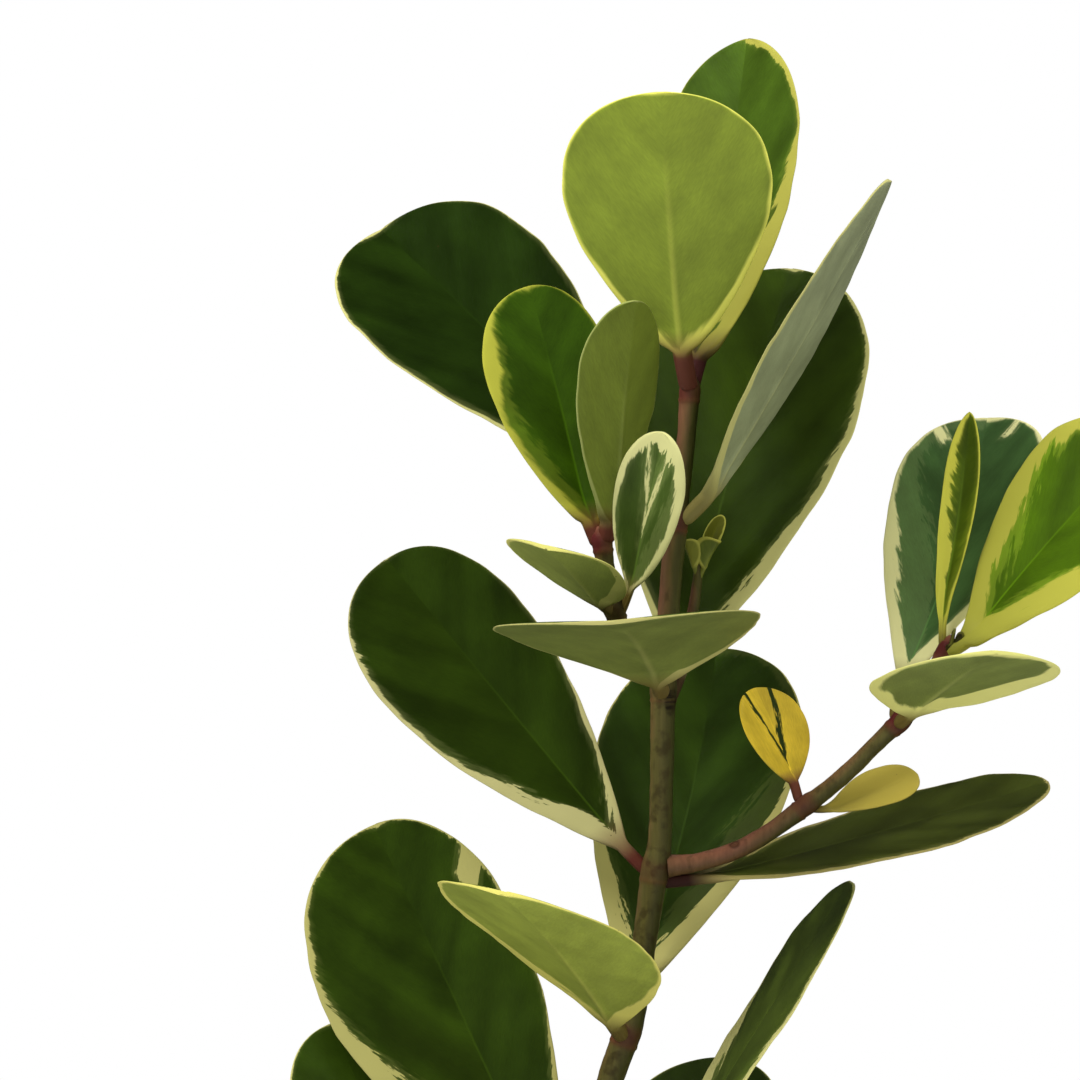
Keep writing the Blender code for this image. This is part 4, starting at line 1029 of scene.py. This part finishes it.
def make_soil_tree():
    """Heaves the top of the soil into lumps and crumbs, in mm."""
    tree, put, ask = new_tree("soil_heave", {"Lump": 1.6, "Crumb": 1.1}, Geometry=["Geometry"])
    at = put("InputPosition")
    split = put("SeparateXYZ", at).outputs
    from_axis = put("length", put("xyz", split["X"], split["Y"]))
    past_stem = put("ramp", from_axis, STEM_HOLE, STEM_HOLE + 5, 0.15, 1.0)
    free = put("*", put("Math.GREATER_THAN", split["Z"], SOIL_TOP - 0.5), past_stem)
    seeded = put("VectorMath.ADD", at, (0.0, 0.0, 40.0))
    slow_even = put("-", put("noise", seeded, 0.05, 1.0), 0.5)
    quick_even = put("-", put("noise", seeded, 0.22, 4.0, 0.65), 0.5)
    slow_higher = put("*", put("*", slow_even, ask["Lump"]), 4.0)
    quick_higher = put("*+", put("*", quick_even, ask["Crumb"]), 4.0, slow_higher)
    push = put("xyz", 0.0, 0.0, put("*", quick_higher, free))
    soil = put("SetPosition", ask["Geometry"], {"Offset": push})
    end_tree(put, ask, put("SetShadeSmooth", soil))
    return tree


def rough_skin(name, dark, light, grain, roughness, depth):
    """A dry natural material: two tones in clouds, with a grainy relief. grain is its size in mm."""
    skin, put, shader = new_skin(name)
    place = put("TexCoord").outputs["Object"]
    cloud = put("noise", place, 1000 / (grain * 6), 3.0)
    speck = put("noise", place, 1000 / grain, 3.0, 0.7)
    share = put("ramp", put("+", cloud, speck), 0.75, 1.3)
    colour = put("mix", share, linear(dark), linear(light))
    dry = put("ramp", speck, 0.0, 1.0, roughness, 1.0)
    bump = put("Bump", {"Strength": 0.8, "Distance": depth * MM, "Height": speck})
    feed(shader, {"Base Color": colour, "Roughness": dry, "Normal": bump})
    return skin


peat = rough_skin("damp_peat_crumbs", "140c07", "3a2818", 0.9, 0.85, 0.5)
soil_mesh = grow("soil", make_soil_tree(), {"Material": peat}, soil_body())
soil_mesh.transform(Matrix.Scale(MM, 4))
soil = finish_piece("potting_soil", soil_mesh, "soil")
print("soil:", triangles(soil), "triangles")

# %% [markdown]
# The loose things on the soil are small solids with no two alike: a lump is a ball whose points are
# pushed in and out, and a chip is a short slab with broken ends. A few kinds of each are enough,
# because the scatter turns and scales every one.

# %% What lies on the soil
FULL_TURN = 6.28               # radians


def lump(name, draw, size, uneven, flat=1.0):
    """A closed uneven lump, in mm."""
    shape = bmesh.new()
    bmesh.ops.create_icosphere(shape, subdivisions=2, radius=1.0)
    for vertex in shape.verts:
        push = 1 + draw.uniform(-uneven, uneven)
        vertex.co = Vector((vertex.co.x * size, vertex.co.y * size * 0.85, vertex.co.z * size * flat)) * push
    return mesh_of(name, shape)


def chip(name, draw, length, width, thickness):
    """A piece of bark, in mm: a slab with broken ends and a slight curve."""
    shape = bmesh.new()
    bmesh.ops.create_cube(shape, size=1.0)
    bmesh.ops.subdivide_edges(shape, edges=shape.edges[:], cuts=3, use_grid_fill=True)
    for vertex in shape.verts:
        x, y, z = vertex.co
        end = abs(x) * 2
        narrow = 1 - 0.45 * end ** 4 * draw.uniform(0.4, 1.0)
        vertex.co = Vector((x * length * (1 + 0.12 * draw.uniform(-1, 1)), y * width * narrow,
                            z * thickness * draw.uniform(0.8, 1.15) + 0.12 * length * (y * y - x * x)))
    bmesh.ops.recalc_face_normals(shape, faces=shape.faces)
    return mesh_of(name, shape)


FIBRE_STEPS = 10
FIBRE_CORNERS = (0, 1.2566, 2.5133, 3.7699, 5.0265)       # of its section, radians


def fibre(name, draw, length, radius):
    """A thin curved root fibre, in mm."""
    shape = bmesh.new()
    points, heading = [Vector((0, 0, 0))], draw.uniform(0, FULL_TURN)
    for step in range(FIBRE_STEPS):
        heading += draw.uniform(-0.5, 0.5)
        way = Vector((math.cos(heading), math.sin(heading), draw.uniform(-0.12, 0.12)))
        points.append(points[-1] + way * length / FIBRE_STEPS)
    rows = []
    for number, point in enumerate(points):
        way = (points[min(number + 1, FIBRE_STEPS)] - points[max(number - 1, 0)]).normalized()
        side = way.cross(Vector((0, 0, 1))).normalized()
        over = side.cross(way)
        thin = radius * (1 - 0.6 * number / FIBRE_STEPS)
        rows.append([shape.verts.new(point + (side * math.cos(a) + over * math.sin(a)) * thin)
                     for a in FIBRE_CORNERS])
    for low, high in zip(rows, rows[1:]):
        for corner in range(5):
            shape.faces.new((low[corner], low[(corner + 1) % 5], high[(corner + 1) % 5], high[corner]))
    shape.faces.new(rows[0][::-1])
    shape.faces.new(rows[-1])
    bmesh.ops.recalc_face_normals(shape, faces=shape.faces)
    return mesh_of(name, shape)


LAYING = {                     # the inputs of the scatter tree and where they start, in mm
    "Apart": 3.0, "Density": 0.1, "Smallest": 0.6, "Largest": 1.3, "Tilt": 0.4, "Lift": 0.3, "Seed": 1,
}
CLEAR_OF_STEM = 7.5            # the scatter keeps outside this radius, mm


def make_scatter_tree():
    """Lays things of a collection on the soil's top, turned and scaled at random, in mm."""
    tree, put, ask = new_tree("scatter", LAYING, Geometry=["Geometry"], Collection=["Kinds"])
    split = put("SeparateXYZ", put("InputPosition")).outputs
    from_axis = put("length", put("xyz", split["X"], split["Y"]))
    outside = put("Math.GREATER_THAN", from_axis, CLEAR_OF_STEM)
    ring = put("*", put("Math.LESS_THAN", from_axis, CLEAR_OF_WALL), outside)
    free = put("*", ring, put("Math.GREATER_THAN", split["Z"], SOIL_TOP - 3))
    points = put("DistributePointsOnFaces.POISSON", {"Mesh": ask["Geometry"], "Selection": free,
                                                     "Distance Min": ask["Apart"],
                                                     "Density Max": ask["Density"], "Seed": ask["Seed"]})
    kinds = put("CollectionInfo", {"Collection": ask["Kinds"], "Separate Children": True,
                                   "Reset Children": True})
    tilt_back = put("*", ask["Tilt"], -1.0)
    lowest = put("xyz", tilt_back, tilt_back)
    highest = put("xyz", ask["Tilt"], ask["Tilt"], FULL_TURN)
    turn = put("RandomValue.FLOAT_VECTOR", lowest, highest, {"Seed": ask["Seed"]})
    size = put("RandomValue.FLOAT", ask["Smallest"], ask["Largest"], {"Seed": ask["Seed"]})
    laid = put("InstanceOnPoints", {"Points": points, "Instance": kinds, "Pick Instance": True,
                                    "Rotation": turn, "Scale": size})
    made = put("RealizeInstances", laid)
    made = put("SetPosition", made, {"Offset": put("xyz", 0.0, 0.0, ask["Lift"])})
    end_tree(put, ask, made)
    return tree


def scatter(name, material, kinds, *numbers):
    """Scatter copies of the kinds over the soil as one piece. The numbers are in the order of LAYING."""
    box = bpy.data.collections.new(name + "_kinds")
    for number, mesh in enumerate(kinds):
        box.objects.link(bpy.data.objects.new(f"{name}_{number}", mesh))
    ground = soil_mesh.copy()
    ground.transform(Matrix.Scale(1 / MM, 4))
    mesh = grow(name, scatter_tree, {**dict(zip(LAYING, numbers)), "Kinds": box, "Material": material}, ground)
    for thing in list(box.objects):
        bpy.data.objects.remove(thing, do_unlink=True)
    bpy.data.collections.remove(box)
    mesh.transform(Matrix.Scale(MM, 4))
    piece = finish_piece(name, mesh)
    print(name, triangles(piece), "triangles")


draw = random.Random(11)
scatter_tree = make_scatter_tree()
bark = rough_skin("dry_bark_chips", "2c1a0e", "6e4a2c", 0.5, 0.8, 0.3)
perlite = rough_skin("white_perlite_grains", "b9b4a6", "e6e2d6", 0.4, 0.9, 0.3)
root_fibre = rough_skin("pale_root_fibre", "6b4a2c", "a8845a", 0.4, 0.85, 0.1)
scatter("peat_crumbs", peat, [lump("crumb", draw, 1.0, 0.22, 0.75) for _ in range(5)],
        1.7, 0.09, 0.5, 1.9, 1.5, 0.1, 4)
scatter("bark_chips", bark, [chip("chip", draw, draw.uniform(6, 11), draw.uniform(3, 5),
                                  draw.uniform(1.2, 2.2)) for _ in range(6)],
        6.0, 0.012, 0.6, 1.2, 0.35, 0.7, 8)
scatter("perlite_grains", perlite, [lump("grain", draw, 1.3, 0.16, 0.85) for _ in range(4)],
        4.5, 0.009, 0.6, 1.3, 1.5, 0.6, 15)
scatter("root_fibres", root_fibre, [fibre("fibre", draw, draw.uniform(8, 16), 0.22) for _ in range(5)],
        9.0, 0.004, 0.7, 1.2, 0.2, 0.9, 23)

# %% [markdown]
# ## The pot
# A plain clay pot is pressed in a mould and turned smooth. Its wall tapers to the foot, and a thicker
# rim gives the hands a hold. It is a turned profile with every corner rounded, and the three drain
# holes are bored through its floor.

# %% The pot's shape
POT_CORNERS = [                # radius, height and rounding of each corner of the profile, mm
    (0, 9, 0), (49, 9, 4), (71, 118.5, 2), (77.3, 150, 2.6), (85.1, 150, 2.8), (82.9, 118.6, 1.8),
    (77.2, 118.2, 1.0), (56.4, 0, 2.2), (0, 0, 0),
]
DRAIN_RING, DRAIN_RADIUS = 27, 5
DRAIN_ANGLES = (90, 210, 330)
SHARP_EDGE = 40                # degrees; gentler edges are shaded smooth


def rounded(corners, arc_steps=7, longest=5.0):
    """The profile's points, with an arc at each rounded corner and no long step between points."""
    found = []
    for number, (x, y, radius) in enumerate(corners):
        here = Vector((x, y))
        if radius == 0:
            found.append(here)
            continue
        back = (Vector(corners[number - 1][:2]) - here).normalized()
        ahead = (Vector(corners[number + 1][:2]) - here).normalized()
        half_angle = back.angle(ahead) / 2
        reach = radius / math.tan(half_angle)
        centre = here + (back + ahead).normalized() * radius / math.sin(half_angle)
        first, last = here + back * reach - centre, here + ahead * reach - centre
        for step in range(arc_steps + 1):
            share = step / arc_steps
            found.append(centre + first.slerp(last, share))
    spaced = [found[0]]
    for point in found[1:]:
        gap = (point - spaced[-1]).length
        count = max(1, math.ceil(gap / longest))
        start = spaced[-1]
        spaced += [start.lerp(point, step / count) for step in range(1, count + 1)]
    return [(max(0.0, point.x), point.y) for point in spaced]


def pot_mesh():
    """The pot, turned from its profile and bored."""
    mesh = turned_mesh("clay_pot", rounded(POT_CORNERS), POT_SIDES, MM)
    pot = show("pot_blank", mesh)
    drills = bpy.data.collections.new("drills")
    for angle in DRAIN_ANGLES:
        drill = bmesh.new()
        bmesh.ops.create_cone(drill, cap_ends=True, segments=48, radius1=DRAIN_RADIUS * MM,
                              radius2=DRAIN_RADIUS * MM, depth=30 * MM)
        tool = bpy.data.objects.new("drill", mesh_of("drill", drill))
        turn = math.radians(angle)
        tool.location = (DRAIN_RING * MM * math.cos(turn), DRAIN_RING * MM * math.sin(turn), 4 * MM)
        drills.objects.link(tool)
    bpy.context.scene.collection.children.link(drills)
    bore = pot.modifiers.new("bore", "BOOLEAN")
    bore.operation, bore.operand_type, bore.solver = "DIFFERENCE", "COLLECTION", "EXACT"
    bore.collection = drills
    bpy.context.view_layer.update()
    bored = bpy.data.meshes.new_from_object(pot.evaluated_get(bpy.context.evaluated_depsgraph_get()))
    for thing in [pot, *drills.objects]:
        bpy.data.objects.remove(thing, do_unlink=True)
    bpy.data.collections.remove(drills)
    bored.shade_smooth()
    bored.set_sharp_from_angle(angle=math.radians(SHARP_EDGE))
    return bored


def make_terracotta():
    """Fired clay: matte, cloudy orange brown, with turning lines, pores and a pale bloom of lime."""
    skin, put, shader = new_skin("fired_terracotta")
    place = put("TexCoord").outputs["Object"]
    split = put("SeparateXYZ", place).outputs
    cloud = put("noise", place, 14.0, 4.0, 0.55)
    clay = put("mix", put("ramp", cloud, 0.3, 0.7), linear("9c5230"), linear("c07a52"))
    grain = put("noise", place, 700.0, 3.0, 0.7)
    grainy = put("scale", clay, put("ramp", grain, 0.3, 0.7, 0.9, 1.1))
    # Lime that the water left: most under the rim and near the foot
    high = put("ramp", split["Z"], 0.1, 0.145, 0.0, 0.1)
    more = put("+", put("ramp", split["Z"], 0.0, 0.06, 0.16, 0.0), high)
    bloom_sum = put("+", put("noise", place, 26.0, 5.0, 0.65), more)
    bloomed = put("mix", put("ramp", bloom_sum, 0.54, 0.8, 0.0, 0.25), grainy, linear("d9c3ae"))
    # Open pores, under half a millimetre
    pores = put("TexVoronoi", place, 420.0)
    pore_kind = put("SeparateColor", pores.outputs["Color"]).outputs["Red"]
    pore_gap = put("-", pores, put("ramp", pore_kind, 0.86, 1.0, 0.0, 0.16))
    pore = put("ramp", pore_gap, -0.05, 0.0, 0.6, 0.0)
    pored = put("mix", pore, bloomed, linear("5a2f1c"))
    matte = put("ramp", grain, 0.0, 1.0, 0.74, 0.95)
    # Turning lines run round the pot, a little uneven in height and depth
    line_place = put("xyz", 0.0, 0.0, put("*+", cloud, 0.0015, split["Z"]))
    relief = put("*+", put("noise", line_place, 800.0, 2.0), 1.0, put("*", grain, 0.5))
    bump = put("Bump", {"Strength": 0.6, "Distance": 0.00035, "Height": put("*+", pore, -0.8, relief)})
    feed(shader, {"Base Color": pored, "Roughness": matte, "Normal": bump})
    return skin


clay_pot = pot_mesh()
clay_pot.materials.clear()
clay_pot.materials.append(make_terracotta())
pot = finish_piece("clay_pot", clay_pot, "pot")
print("pot:", triangles(pot), "triangles")
